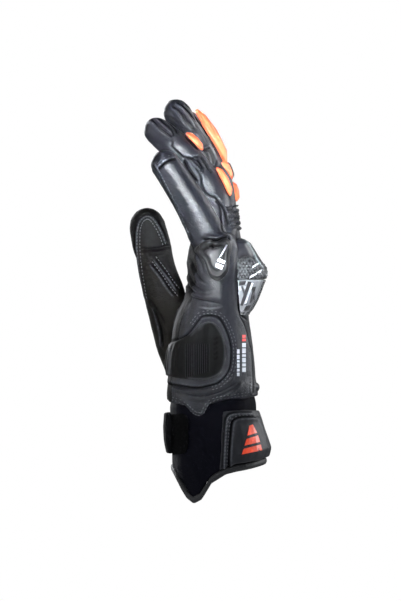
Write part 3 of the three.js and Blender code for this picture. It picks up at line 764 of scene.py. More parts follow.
middleFingerLines = {
    "pleatLow": [(-25.0, 188.2), (-21.2, 185.6), (-18.5, 182.2), (-16.3, 178.6), (-13.3, 175.5),
                 (-10.9, 172.4)],
    "pleatMiddle": [(-23.0, 190.9), (-17.9, 187.8), (-14.7, 184.6), (-12.2, 181.1), (-10.2, 177.9),
                    (-9.0, 174.0)],
    "pleatHigh": [(-17.5, 190.5), (-13.0, 186.5), (-10.5, 182.5), (-8.2, 178.6), (-7.4, 175.0)],
    "panelEdge": [(-11.0, 170.5), (-9.0, 166.0), (-7.0, 161.5), (-4.0, 160.2), (-1.0, 161.2), (2.0, 160.0)],
    "leafOuter": [(-4.5, 158.7), (-1.8, 160.0), (0.1, 157.2), (1.3, 153.6), (1.6, 149.2)],
    "leafInner": [(-0.3, 160.3), (2.2, 156.3), (2.8, 149.2)],
}
littleLines = {
    "capSeam": [(-33.5, 146.6), (-32.2, 148.2), (-30.1, 150.4), (-26.9, 152.6), (-21.8, 153.8)],
    "palmEdge": [(-37.5, 151.5), (-34.5, 146.0), (-31.5, 140.0), (-27.0, 131.5), (-22.5, 122.0),
                 (-18.0, 112.0), (-14.5, 103.5)],
    "panel": [(-10.5, 149.0), (-6.7, 143.1), (-6.1, 137.3), (-3.6, 132.4), (-0.3, 130.6), (2.8, 129.3),
              (5.6, 125.7), (8.3, 121.1), (9.9, 115.8), (11.5, 110.7)],
    "leaf": [(1.9, 128.0), (4.7, 125.1), (6.1, 120.3), (6.4, 115.2), (7.0, 109.4), (8.8, 106.6),
             (10.6, 108.2), (10.9, 112.6)],
}
handLines = {
    "insertTop": [(-6.1, 102.6), (-0.8, 102.3), (3.5, 101.5), (7.3, 103.1), (10.4, 103.5), (12.4, 101.1)],
    "guardEdge": [(16.3, 108.5), (17.0, 99.2), (17.2, 90.2), (17.6, 70.1), (18.4, 57.0), (24.3, 50.6)],
    "guardRidge": [(14.5, 104.0), (15.4, 96.0), (14.4, 88.0), (12.6, 80.0), (9.4, 73.5)],
    "wristFold": [(-13.4, 66.6), (-8.0, 64.6), (-2.0, 63.5), (1.9, 62.7), (7.3, 61.2)],
    "wristFoldLow": [(-9.0, 60.2), (-2.6, 59.2), (4.0, 59.4), (9.3, 60.9)],
    "backSeam": [(17.8, 55.2), (22.4, 45.8), (25.0, 35.2), (26.0, 30.1), (26.6, 3.8)],
    "underFold": [(-26.2, 9.6), (-16.6, 7.7), (-7.0, 7.0), (2.6, 9.0), (10.9, 14.1), (14.7, 20.5)],
    "underFoldLow": [(-18.6, 5.1), (-8.3, 2.6), (0.6, 3.8), (9.0, 7.0), (18.6, 12.8)],
    "underFoldShort": [(-2.0, 0.8), (6.0, 3.5), (14.0, 7.5), (21.0, 14.0)],
    "palmEdge": [(-13.8, 99.8), (-15.6, 92.2), (-16.2, 80.0), (-17.3, 71.7), (-18.8, 63.4), (-21.7, 57.0),
                 (-23.7, 51.2), (-26.0, 42.0)],
    "insertFoldHigh": [(-12.1, 95.4), (-9.0, 92.6), (-6.5, 88.5), (-5.2, 83.5), (-3.8, 79.5)],
    "insertFoldMiddle": [(-14.0, 91.0), (-11.5, 87.0), (-9.0, 81.5), (-6.0, 76.5), (-1.0, 73.2)],
    "insertFoldLow": [(-15.5, 86.0), (-13.5, 79.0), (-10.0, 73.0), (-4.0, 69.6), (3.0, 70.5)],
    "insertFoldDeep": [(-16.0, 80.3), (-14.3, 73.5), (-10.9, 68.9), (-6.5, 67.2)],
    "sliderTuck": [(-26.8, 37.5), (-19.2, 39.2), (-14.7, 42.4), (-10.9, 46.9), (-7.9, 51.0), (-5.3, 53.4),
                   (0.8, 53.9), (6.2, 51.4), (11.0, 41.6), (12.9, 31.4), (11.4, 19.6), (5.4, 12.2),
                   (-1.3, 9.6), (-10.2, 8.2), (-26.8, 10.6)],
}
thumbLines = {
    "tipSeam": [(-44.4, 64.0), (-48.2, 88.3), (-48.9, 103.7), (-48.0, 112.2), (-45.2, 117.2),
                (-41.0, 119.2), (-36.8, 117.4), (-32.8, 111.8), (-30.0, 106.2), (-27.9, 100.5)],
    "jointCrease": [(-46.0, 97.6), (-38.0, 97.6), (-31.0, 98.6), (-25.0, 100.2)],
    "jointCreaseLow": [(-41.0, 95.4), (-34.0, 95.6), (-27.5, 97.4)],
    "crossSeam": [(-39.0, 88.3), (-32.6, 80.0), (-27.5, 72.3), (-22.4, 65.9)],
    "crossSeamHigh": [(-36.6, 91.5), (-30.2, 83.2), (-25.1, 75.5), (-20.6, 69.8)],
    "webFold": [(-29.0, 84.0), (-26.0, 79.0), (-22.6, 75.5)],
    "webFoldLow": [(-27.6, 79.5), (-24.6, 75.0), (-21.0, 72.0)],
    "ballSeam": [(-36.0, 60.0), (-33.5, 50.0), (-31.5, 42.0), (-30.6, 33.0)],
    "ballFold": [(-40.5, 66.0), (-33.0, 55.0), (-29.0, 47.0)],
}


# dark sets the painted shade in each cut, pale the painted highlight beside it
hideCuts = {
    "fingerPleat": {"shape": pleat, "taper": 2.5, "width": 0.85, "depth": 3.2, "lip": 1.2, "over": -1,
                    "dark": 1.0, "pale": 1.0},
    "fingerLeaf": {"shape": pleat, "taper": 2.5, "width": 0.8, "depth": 2.6, "lip": 0.9, "over": -1,
                   "dark": 1.0, "pale": 0.9},
    "fingerSeam": {"shape": seam, "taper": 1.5, "dark": 0.9, "pale": 0.6},
    "capSeam": {"shape": seam, "taper": 1.5, "height": 0.6, "dark": 1.0, "pale": 0.8},
    "littleSeam": {"shape": seam, "taper": 3, "dark": 0.8, "pale": 0.5},
    "panelSeam": {"shape": seam, "taper": 2, "height": 0.8, "over": -1, "dark": 1.0, "pale": 0.9},
    "panelSeamRing": {"shape": seam, "taper": 2, "height": 0.8, "dark": 1.0, "pale": 0.9},
    "littleLeaf": {"shape": pleat, "taper": 2, "width": 0.65, "depth": 0.9, "lip": 0.35,
                   "dark": 0.9, "pale": 0.6},
    "insertTop": {"shape": fold, "taper": 3, "width": 1.7, "height": 1.7, "dark": 0.8},
    "guardRidge": {"shape": ridge, "taper": 8, "width": 2.6, "height": 1.3},
    "guardGroove": {"shape": groove, "taper": 2, "width": 0.8, "depth": 0.9, "dark": 1.0, "pale": 0.6},
    "wristFold": {"shape": fold, "taper": 6, "width": 1.4, "height": 1.7, "dark": 0.6},
    "wristFoldLow": {"shape": fold, "taper": 6, "width": 1.1, "height": 0.9, "over": -1},
    "insertFold": {"shape": fold, "taper": 6, "width": 1.35, "height": 1.2, "over": -1, "dark": 0.5},
    "sliderTuck": {"shape": seam, "taper": 0, "width": 0.7, "depth": 0.9, "height": 0.5, "over": -1,
                   "dark": 1.0, "pale": 0.35},
    "underFold": {"shape": fold, "taper": 8, "width": 1.5, "height": 1.1, "over": -1, "dark": 0.35},
    "backSeam": {"shape": seam, "taper": 1, "over": -1, "dark": 0.9, "pale": 0.4},
    "palmSeam": {"shape": seam, "taper": 3, "dark": 0.9, "pale": 0.5},
    "thumbSeam": {"shape": seam, "taper": 3, "over": -1, "dark": 0.9, "pale": 0.5},
    "thumbFold": {"shape": fold, "taper": 4, "width": 1.2, "height": 1.1, "over": -1, "dark": 0.6},
}


def lowestAround(points, centre=(4, 0), bins=90):  # the lowest height of a ring-shaped edge, by direction
    angle = np.arctan2(points[:, 1] - centre[1], points[:, 0] - centre[0])
    place = (angle / (2 * math.pi) + 0.5) * bins
    lowest = np.full(bins, 1e9)
    np.minimum.at(lowest, place.astype(int) % bins, points[:, 2])
    lowest = np.minimum(np.minimum(np.roll(lowest, 1), np.roll(lowest, -1)), lowest)
    lowest = (np.roll(lowest, 1) + 2 * lowest + np.roll(lowest, -1)) / 4
    return np.interp(place - 0.5, np.arange(-1, bins + 1), lowest[np.arange(-1, bins + 1) % bins])


# the hem seen from either side
hemShape = [(-30.0, -1.0), (-26.0, -1.2), (-19.8, -3.2), (-14.5, -7.6), (-10.2, -10.6), (-4.4, -10.6),
            (-0.8, -4.2), (3.2, -1.6), (9.0, -0.4), (25.0, 1.8), (34.0, 2.2)]


hemFit = {"fade": 22, "least": 0.35, "out": 1.1, "rolled": 1.0}


def shapeHem(piece):  # the lower edge gets its flat point, and turns in over the cuff
    points, normals = readPoints(piece), smoothNormals(piece)
    hem = lowestAround(points)
    wanted = np.interp(points[:, 0], *np.array(hemShape).T)
    sideways = ramp(np.abs(normals[:, 1]), 0.15, 0.5)
    share = 1 - ramp(points[:, 2] - hem, 0, hemFit["fade"])
    points[:, 2] += (wanted - hem) * share * (hemFit["least"] + (1 - hemFit["least"]) * sideways)
    above = points[:, 2] - lowestAround(points)
    out = (1 - ramp(above, 4, 14)) * hemFit["out"] - (1 - ramp(above, 0, 1.3)) * hemFit["rolled"]
    heelEdge = ramp(-points[:, 0], 20, 25) * ramp(-points[:, 1], 8, 20) * (1 - ramp(points[:, 2], 12, 20))
    out += hemFit["out"] * heelEdge
    points += normals * out[:, None]
    writePoints(piece, points)


slimming = {"back": 2.6, "down": 1.2}


def slimMiddle(piece):  # the back of the middle finger lies lower than the index finger's
    points = readPoints(piece)
    offset = fromMiddle(points, "middle_finger")[0]
    share = ramp(points[:, 1], 0.5, 3) * (1 - ramp(points[:, 1], 2 * fingerGap - 2.5, 2 * fingerGap))
    share *= ramp(offset[:, 0], 0, 8) * ramp(points[:, 2], 138, 156) * (1 - ramp(points[:, 2], 176, 189))
    points[:, 0] -= slimming["back"] * share
    points[:, 2] -= slimming["down"] * share
    writePoints(piece, points)


# heights over which one part of the hide passes into the next
bands = {"roots": (96, 104), "handTop": (104, 110), "littleRoot": (90, 100), "fingers": (92, 110),
         "suedeTop": (98, 106), "thumbSuede": (60, 84), "gloss": (84, 108)}
thumbZone = {"reach": 1.25, "low": 26, "front": -14}


def carveHide(piece):
    clay = Carving(piece)
    points, normals = clay.points, clay.normals
    x, y, z = points.T
    outerFace = ramp(-normals[:, 1], -0.25, 0.2) * ramp(-y, 2, 14)
    facing = ramp(np.abs(normals[:, 1]), 0.18, 0.48)
    aboveRoots = ramp(z, *bands["roots"])
    handOnly = 1 - ramp(z, *bands["handTop"])
    little = outerFace * (y < -2 * fingerGap + 1.5) * ramp(z, *bands["littleRoot"])
    ring = ((y > -2 * fingerGap) & (y < 0)) * aboveRoots * facing
    middleFinger = ((y > 0) & (y < 2 * fingerGap)) * aboveRoots * facing
    index = (y > 2 * fingerGap) * aboveRoots * facing
    reach = fromMiddle(points, "thumb")[1]
    thumb = (reach < thumbZone["reach"]) & (z > thumbZone["low"]) & (x < thumbZone["front"])
    thumbNear = thumb * ramp(-normals[:, 1], -0.3, 0.15)
    hand = outerFace * handOnly * (1 - thumb) * (z < 112)
    farFace = ramp(normals[:, 1], -0.25, 0.2) * (y > 0) * handOnly * (1 - thumb)

    for digit, lines, where in (("ring_finger", ringLines, ring),
                                ("middle_finger", middleFingerLines, middleFinger),
                                ("index_finger", middleFingerLines, index)):
        if digit == "index_finger":
            lines = {name: toDigit(line, "middle_finger", digit) for name, line in lines.items()}
        for name, line in lines.items():
            cut = "fingerPleat" if "pleat" in name else "fingerLeaf" if "leaf" in name else "fingerSeam"
            clay.line(line, where, **hideCuts[cut])
    farLittle = (y > 2 * fingerGap) * ramp(normals[:, 1], -0.25, 0.2) * ramp(z, *bands["littleRoot"])
    for name in ("capSeam", "palmEdge", "panel"):
        line = toDigit(littleLines[name], "little_finger", "index_finger")
        clay.line(line, farLittle, **hideCuts["fingerSeam"])

    for lines, where, cut, names in (
            (littleLines, little, "capSeam", "capSeam"),
            (littleLines, little, "littleSeam", "palmEdge"),
            (littleLines, little, "panelSeam", "panel"),
            (littleLines, ring, "panelSeamRing", "panel"),
            (littleLines, little, "littleLeaf", "leaf"),
            (handLines, hand, "insertTop", "insertTop"),
            (handLines, hand, "guardRidge", "guardRidge"),
            (handLines, hand, "guardGroove", "guardEdge"),
            (handLines, hand, "wristFold", "wristFold"),
            (handLines, hand, "wristFoldLow", "wristFoldLow"),
            (handLines, hand, "insertFold", "insertFoldHigh insertFoldMiddle insertFoldLow insertFoldDeep"),
            (handLines, hand, "sliderTuck", "sliderTuck"),
            (handLines, hand, "underFold", "underFold underFoldLow underFoldShort"),
            (handLines, hand, "backSeam", "backSeam"),
            (handLines, hand, "palmSeam", "palmEdge"),
            (handLines, farFace, "backSeam", "backSeam"),
            (handLines, farFace, "palmSeam", "palmEdge"),
            (thumbLines, thumb.astype(float), "thumbSeam", "tipSeam"),
            (thumbLines, thumbNear, "thumbSeam", "crossSeam crossSeamHigh ballSeam"),
            (thumbLines, thumbNear, "thumbFold", "jointCrease jointCreaseLow webFold webFoldLow ballFold")):
        for name in names.split():
            clay.line(lines[name], where, **hideCuts[cut])
    clay.settle()

    fingers = ramp(z, *bands["fingers"])
    clay.push(rippled(points, 3, 16, 40) * (0.42 - 0.32 * fingers) + rippled(points, 5, 5, 12) * 0.06)
    clay.push(rippled(points * (0.35, 0.5, 1), 8, 2.2, 7.0, 60) * 0.085, fingers)  # fine creases across
    clay.settle()
    palmSide = ramp(np.interp(z, *palmLimit) - x, 0, 2.5)
    suede = palmSide * ramp(-clay.normals[:, 0], 0.0, 0.5) * (1 - ramp(z, *bands["suedeTop"]))
    suede = np.maximum(suede, thumb * (1 - ramp(z, *bands["thumbSuede"])))
    writeField(piece, "suede", suede * 0.85)
    writeField(piece, "gloss", ramp(z, *bands["gloss"]))
    beyondSeam = ramp(np.interp(z, *palmLimit) - x, -0.5, 0.5) * ramp(-clay.normals[:, 0], -0.3, -0.1)
    matt = np.maximum(beyondSeam, ramp(-clay.normals[:, 0], 0.8, 0.9)) * (z < 101)
    writeField(piece, "matt", averaged(np.maximum(matt, thumb.astype(float)), readEdges(piece), 50))


# how far forward the matt palm leather begins, at each height
palmLimit = np.array([(12.0, -26.0), (42.0, -26.0), (51.2, -23.7), (63.4, -18.8), (80.0, -16.2),
                      (99.8, -13.8)]).T
shapeHem(hidePiece)
slimMiddle(hidePiece)
carveHide(hidePiece)


def splitHide(piece, names):  # pieces that keep the shading of the one that they were
    smoothShade(piece)
    writeVectors(piece, "wasNormal", readNormals(piece))
    parts = [piece]
    for test in (lambda centre, matt: matt > 0.5, lambda centre, matt: centre[:, 2] > hide["split"] * mm):
        mesh = piece.data
        corners = readTable(mesh.polygons, "vertices", 4, np.int64)
        matt = readTable(mesh.attributes["matt"].data, "value", 1, np.float32)[:, 0]
        chosen = test(readTable(mesh.polygons, "center", 3), matt[corners].mean(axis=1))
        parts.append(separated(piece, chosen))
    for part, name in zip(parts, names):
        part.name = name
        normals = readTable(part.data.attributes["wasNormal"].data, "vector", 3, np.float32)
        part.data.normals_split_custom_set_from_vertices(normals.tolist())
        part.data.attributes.remove(part.data.attributes["wasNormal"])
    return parts


def writeVectors(piece, name, values):
    field = piece.data.attributes.new(name, "FLOAT_VECTOR", "POINT")
    field.data.foreach_set("vector", np.ascontiguousarray(values, dtype=np.float32).ravel())


hideNames = ("handLeather", "palmAndThumbLeather", "fingerLeather")
handLeather, palmHide, fingerLeather = splitHide(hidePiece, hideNames)
finishPiece(handLeather, leather, "back_of_hand", "outer_side", "thumb_side", slot="leather")
finishPiece(palmHide, palmLeather, "palm", "thumb", slot="leather")
finishPiece(fingerLeather, leather, *digitNodes[:4], slot="leather")
print("leather:", [len(part.data.polygons) for part in (handLeather, palmHide, fingerLeather)], "faces")


# Sewing and printed marks, laid on a finished surface along its seams

stitchLook = {"pitch": 2.2, "length": 1.5, "width": 0.55, "height": 0.5, "lift": 0.08,
              "ahead": 0.6, "longestJump": 1.6, "leastFacing": 0.3}
markLook = {"lift": 0.16, "thickness": 0.24}


def surfaceOf(*pieces):
    trees = [BVHTree.FromObject(piece, bpy.context.evaluated_depsgraph_get()) for piece in pieces]

    def castOn(flat, plane="side", sign=-1):  # the outermost point of the surface over a flat place
        start = np.zeros(3)
        start[planes[plane]] = flat
        along = depthOf[plane]
        start[along] = sign * 150
        heading = np.zeros(3)
        heading[along] = -sign
        best = None
        for tree in trees:
            spot, normal, _, distance = tree.ray_cast(Vector(start * mm), Vector(heading))
            if spot is not None and (best is None or distance < best[2]):
                best = (np.array(spot) / mm, np.array(normal), distance)
        return best
    return castOn


def offsetPath(corners, aside, pitch):  # evenly spaced places beside a curve, and their directions
    path = curved(corners, 0.4)
    steps = np.diff(path, axis=0)
    lengths = np.concatenate([[0], np.cumsum(np.hypot(*steps.T))])
    places = np.arange(pitch / 2, lengths[-1], pitch)
    spots = np.stack([np.interp(places, lengths, column) for column in path.T], axis=1)
    ahead = np.stack([np.interp(places + 0.5, lengths, column) for column in path.T], axis=1)
    back = np.stack([np.interp(places - 0.5, lengths, column) for column in path.T], axis=1)
    heading = (ahead - back) / np.maximum(np.linalg.norm(ahead - back, axis=1, keepdims=True), 1e-6)
    return spots + aside * np.stack([-heading[:, 1], heading[:, 0]], axis=1), heading


def ballShape(segments, rings, radius):
    deselectAll()
    bpy.ops.mesh.primitive_uv_sphere_add(segments=segments, ring_count=rings, radius=radius * mm)
    ball = bpy.context.object
    shape = readPoints(ball)
    faces = [tuple(face.vertices) for face in ball.data.polygons]
    bpy.data.objects.remove(ball)
    return shape, faces


def joinedPiece(name, shapes, faces, material, slot):  # many small shapes in one mesh
    polygons = [tuple(corner + number * len(shape) for corner in face)
                for number, shape in enumerate(shapes) for face in faces]
    mesh = bpy.data.meshes.new(name)
    mesh.from_pydata((np.concatenate(shapes) * mm).tolist(), [], polygons)
    piece = bpy.data.objects.new(name, mesh)
    bpy.context.collection.objects.link(piece)
    smoothShade(piece)
    return finishPiece(piece, material, slot=slot)


def sew(name, castOn, rows):  # rows of (corners, distance beside them, plane, side)
    ball, faces = ballShape(6, 4, 0.5)
    stitches = []
    for corners, aside, plane, sign in rows:
        depth = depthOf[plane]
        for flat, heading in zip(*offsetPath(corners, aside, stitchLook["pitch"])):
            here = castOn(flat, plane, sign)
            ahead = castOn(flat + heading * stitchLook["ahead"], plane, sign)
            if here is None or ahead is None or abs(here[1][depth]) < stitchLook["leastFacing"]:
                continue
            along = ahead[0] - here[0]
            if np.linalg.norm(along) > stitchLook["longestJump"]:
                continue
            along /= np.linalg.norm(along)
            up = here[1] if here[1][depth] * sign > 0 else -here[1]
            across = np.cross(up, along)
            across /= np.linalg.norm(across)
            sizes = np.array([across * stitchLook["width"], np.cross(along, across) * stitchLook["height"],
                              along * stitchLook["length"]])
            stitches.append(ball @ sizes + here[0] + up * stitchLook["lift"])
    print(name + ":", len(stitches), "stitches")
    return joinedPiece(name, stitches, faces, thread, "leather")


def markOn(name, castOn, corners, material, sign=-1, cuts=4, slot="accent"):  # a printed or welded bar
    deselectAll()
    bpy.ops.mesh.primitive_grid_add(x_subdivisions=cuts, y_subdivisions=cuts, size=2)
    mark = named(bpy.context.object, name)
    share = (readPoints(mark)[:, :2] * mm + 1) / 2
    first, second, third, fourth = np.array(corners, float)
    along, across = share[:, :1], share[:, 1:]
    low = first * (1 - along) + second * along
    high = fourth * (1 - along) + third * along
    placed = []
    for spot in low * (1 - across) + high * across:
        found = castOn(spot, "side", sign)
        placed.append(found[0] if found else placed[-1])
    writePoints(mark, np.array(placed) + (0, sign * markLook["lift"], 0))
    applyModifier(mark, "SOLIDIFY", thickness=markLook["thickness"] * mm, offset=0)
    edited(mark, bpy.ops.mesh.normals_make_consistent, inside=False)
    return finishPiece(mark, material, slot=slot)


def pipeOn(name, castOn, corners, material, sign, radius=0.3):  # a thin round edge along a line
    placed = [found[0] for found in (castOn(flat, "side", sign) for flat in curved(corners, 0.8)) if found]
    line = bpy.data.curves.new(name, "CURVE")
    line.dimensions = "3D"
    line.bevel_depth = radius * mm
    line.bevel_resolution = 2
    line.use_fill_caps = True
    spline = line.splines.new("POLY")
    spline.points.add(len(placed) - 1)
    for point, spot in zip(spline.points, placed):
        point.co = (*(spot * mm), 1)
    piece = bpy.data.objects.new(name, line)
    bpy.context.collection.objects.link(piece)
    pick(piece)
    bpy.ops.object.convert(target="MESH")
    smoothShade(piece)
    return finishPiece(piece, material, slot="leather")


def plateOn(name, castOn, outline, thick, rounds, voxel=0.35, sink=0.3):  # a moulded plate on the near side
    deselectAll()
    path = curved(outline + outline[:1], 1.0)[:-1]
    bpy.ops.mesh.primitive_circle_add(vertices=len(path), radius=1, fill_type="NGON")
    plate = named(bpy.context.object, name)
    writePoints(plate, np.stack([path[:, 0], np.zeros(len(path)), path[:, 1]], axis=1))
    applyModifier(plate, "SOLIDIFY", thickness=thick * mm, offset=0)
    applyModifier(plate, "REMESH", mode="VOXEL", voxel_size=voxel * mm)
    points = averaged(readPoints(plate), readEdges(plate), rounds)
    depth = np.full(len(points), np.nan)
    for index, point in enumerate(points):
        found = castOn(point[[0, 2]])
        if found:
            depth[index] = found[0][1]
    depth = np.where(np.isnan(depth), np.nanmax(depth), depth)
    depth = averaged(depth, readEdges(plate), 30)
    points[:, 1] += depth - thick / 2 + sink
    writePoints(plate, points)
    edited(plate, bpy.ops.mesh.normals_make_consistent, inside=False)
    blankFields(plate)
    smoothShade(plate)
    return plate


onLeather = surfaceOf(handLeather, palmHide, fingerLeather)
near, far = ("side", -1), ("side", 1)
bothSides = (("near", -1), ("far", 1))
hemLine = [(x, z) for x, z in hemShape if -27 < x < 27]
fingerRows = [(littleLines["capSeam"], 1.3, *near), (littleLines["capSeam"], 2.9, *near),
              (littleLines["panel"], 1.5, *near), (littleLines["palmEdge"], 1.3, *near),
              (ringLines["panelEdge"], 1.3, *near), (ringLines["padEdge"], 1.3, *near),
              (ringLines["jointSeam"], 1.3, *near), (middleFingerLines["panelEdge"], 1.3, *near),
              (thumbLines["tipSeam"], -1.4, *near), (thumbLines["tipSeam"], -3.2, *near),
              (thumbLines["tipSeam"], -1.4, *far), (thumbLines["tipSeam"], -3.2, *far),
              (thumbLines["crossSeam"], 1.2, *near), (thumbLines["crossSeamHigh"], 1.2, *near)]
for name, aside in (("capSeam", 1.3), ("capSeam", 2.9), ("panel", 1.5), ("palmEdge", 1.3)):
    fingerRows.append((toDigit(littleLines[name], "little_finger", "index_finger"), aside, *far))
handRows = [(handLines["sliderTuck"][3:13], 1.5, *near), (handLines["sliderTuck"][3:13], 3.2, *near)]
for side in (near, far):
    handRows += [(handLines["backSeam"], -1.4, *side), (handLines["palmEdge"], 1.3, *side),
                 (hemLine, 1.7, *side), (hemLine, 3.4, *side)]
sew("seamStitches", onLeather, fingerRows + handRows)


# Soft and moulded pieces that start as copies of their CAD solids

def softCopy(name, node, voxel, rounds, grow=0.0):
    piece = copyOf(name, node)
    if grow:
        applyModifier(piece, "DISPLACE", strength=grow * mm, mid_level=0)
    applyModifier(piece, "REMESH", mode="VOXEL", voxel_size=voxel * mm)
    writePoints(piece, averaged(readPoints(piece), readEdges(piece), rounds))
    blankFields(piece)
    smoothShade(piece)
    return piece


def roughen(piece, seed, shortest, longest, height, waves=28, stretch=(1, 1, 1)):
    clay = Carving(piece)
    clay.push(rippled(clay.points * stretch, seed, shortest, longest, waves) * height)
    clay.settle()


# The cuff: a coated textile sleeve with soft diagonal folds

cuffCloth = softCopy("cuffCloth", "cuff", 0.85, 10, 0.1)
cuffReach = {"up": 9.0, "down": 2.2, "inward": 2.8}
points = readPoints(cuffCloth)
upper = ramp(points[:, 2] + lowestAround(points * (1, 1, -1)), -4, 0)
lower = 1 - ramp(points[:, 2] - lowestAround(points), 0, 4)
points[:, 2] += cuffReach["up"] * upper - cuffReach["down"] * lower
points[:, :2] *= (1 - cuffReach["inward"] / 30 * upper)[:, None]
writePoints(cuffCloth, points)
cuffCut = {"shape": fold, "taper": 10, "width": 3.2, "height": 0.8, "over": -1, "dark": 0.12}
cuffFolds = {
    "rising": [(-12.0, -22.0), (-4.0, -30.0), (3.0, -41.0)],
    "high": [(-16.0, -12.0), (-6.0, -21.0), (1.0, -33.0)],
    "low": [(-14.0, -34.0), (-8.0, -44.0), (-6.0, -54.0)],
    "strapPull": [(-17.0, -20.0), (-8.0, -17.0), (1.0, -19.0)],
    "tail": [(-22.0, -42.0), (-14.0, -47.0), (-8.0, -57.0)],
}
clay = Carving(cuffCloth)
for face in (clay.points[:, 1] < 0, clay.points[:, 1] > 0):
    for line in cuffFolds.values():
        clay.line(line, face * 1.0, **cuffCut)
clay.push(rippled(clay.points, 11, 18, 40) * 0.5)
clay.settle()
finishPiece(cuffCloth, textile, "cuff", slot="cuff_textile")

cuffBinding = softCopy("cuffBinding", "cuff_binding", 0.5, 8, 0.55)
finishPiece(cuffBinding, bindingTape, "cuff_binding", slot="binding")

# The cuff guard: a padded leather trapezoid with a stitched strip down its near edge

guardPad = softCopy("cuffGuardPad", "cuff_guard", 0.6, 8)
guardPadLines = {
    "frontStrip": [(7.0, -44.0), (7.6, -30.0), (8.6, -14.5), (10.0, -9.8), (13.0, -7.9), (18.0, -7.4),
                   (27.0, -7.2)],
    "innerEdge": [(11.2, -44.0), (11.8, -30.0), (13.0, -16.0), (14.6, -12.4), (18.6, -10.8), (27.2, -10.6)],
    "rim": [(28.6, -10.0), (32.4, -17.4), (36.4, -27.0), (37.8, -34.6), (35.6, -38.8), (26.0, -41.0),
            (12.0, -43.6)],
}
clay = Carving(guardPad)
front = ramp(-clay.normals[:, 1], -0.2, 0.2)
rimFace = ramp(-clay.points[:, 1], 10, 14) * ramp(-clay.normals[:, 1], 0.15, 0.4)
# painted highlights along the strip, the inner edge and the rim, and painted shade in the seams
clay.line(guardPadLines["frontStrip"], front, seam, taper=2, over=-1, width=0.7, depth=0.7, height=0.6,
          dark=0.8, pale=0.8)
clay.line(guardPadLines["innerEdge"], front, seam, taper=0, over=-1, width=0.7, depth=1.1, height=1.3,
          dark=1.0, pale=0.5)
clay.line(guardPadLines["rim"], rimFace, ridge, taper=4, width=1.2, height=0.7, pale=1.0)
clay.push(rippled(clay.points, 21, 12, 30) * 0.3)
clay.settle()
finishPiece(guardPad, smoothLeather, "cuff_guard", slot="leather")
onGuardPad = surfaceOf(guardPad)
sew("cuffStitches", onGuardPad, [
    (guardPadLines["frontStrip"], -1.3, *near), (guardPadLines["innerEdge"], 1.3, *near),
    (guardPadLines["innerEdge"][:4], 2.6, *near), (guardPadLines["rim"][4:], 1.6, *near)])
cuffBars = {
    "low": [(19.6, -34.2), (32.6, -31.6), (31.6, -28.0), (20.8, -30.6)],
    "middle": [(21.3, -28.6), (31.2, -26.4), (29.9, -22.2), (22.6, -24.4)],
    "high": [(23.1, -22.4), (29.3, -20.6), (26.6, -15.2), (24.4, -16.0)],
}
for name, corners in cuffBars.items():
    markOn(name + "CuffBar", onGuardPad, corners, orangePrint)

# The closing strap and its fuzzy patch

closureStrap = softCopy("closureStrap", "closure_strap", 0.6, 6)
roughen(closureStrap, 31, 8, 20, 0.25)
finishPiece(closureStrap, strapWeb, "closure_strap", slot="strap")

patchOutline = [(-25.2, -9.4), (-20.0, -8.4), (-15.6, -9.6), (-14.4, -13.0), (-14.6, -22.0), (-15.0, -30.0),
                (-17.0, -33.4), (-21.0, -34.0), (-25.0, -33.6), (-25.4, -22.0)]
loopPatch = plateOn("loopPatch", surfaceOf(cuffCloth, closureStrap), patchOutline, 2.4, rounds=4, voxel=0.4)
roughen(loopPatch, 41, 0.9, 2.2, 0.3, waves=60)
finishPiece(loopPatch, loopPile, "loop_patch", slot="strap")

rollFit = {"middle": 8.0, "tall": 0.62, "back": 0.8}
wristRoll = softCopy("wristRoll", "wrist_roll", 0.5, 8, -0.5)
points = readPoints(wristRoll)
points[:, 2] = rollFit["middle"] + (points[:, 2] - rollFit["middle"]) * rollFit["tall"]
points[:, 0] -= rollFit["back"]
writePoints(wristRoll, points)
roughen(wristRoll, 51, 4, 9, 0.35, stretch=(1, 1, 0.3))
finishPiece(wristRoll, leather, "wrist_roll", slot="leather")
print("cuff: sleeve, binding, guard pad, strap, patch and roll done")


# The knuckle guard: smooth leather above, a studded mesh below it, and a pale shell under both

guardEdges = {
    "piping": [(16.3, 108.5), (22.1, 101.9), (26.7, 95.7), (28.7, 89.9), (33.7, 83.3)],
    "meshTop": [(17.8, 90.6), (22.0, 92.4), (25.5, 91.2), (28.0, 89.4)],
    "frameLow": [(20.0, 77.6), (24.0, 83.0), (29.6, 80.6), (33.0, 78.4)],
    "frameHigh": [(21.0, 88.6), (24.6, 84.4), (30.0, 86.6)],
}
backOutline = np.array([(56.0, 26.0), (64.0, 30.7), (70.4, 33.3), (76.8, 35.2), (80.0, 36.0), (84.9, 36.0),
                        (92.6, 30.8), (100.4, 26.9), (110.5, 19.2)]).T  # height, and how far back


def fitBack(points, near, share):  # the piece reaches as far back as the outline, at each height
    bands = np.arange(points[:, 2].min(), points[:, 2].max() + 2, 1.6)
    farthest = [points[np.abs(points[:, 2] - level) < 1.6, 0].max() for level in bands[:-1]]
    farthest = np.convolve(np.pad(farthest, 1, mode="edge"), [0.25, 0.5, 0.25], "valid")
    own = np.interp(points[:, 2], bands[:-1], farthest)
    wanted = np.interp(points[:, 2], *backOutline)
    points[:, 0] = near + (points[:, 0] - near) * (1 + share * ((wanted - near) / (own - near) - 1))


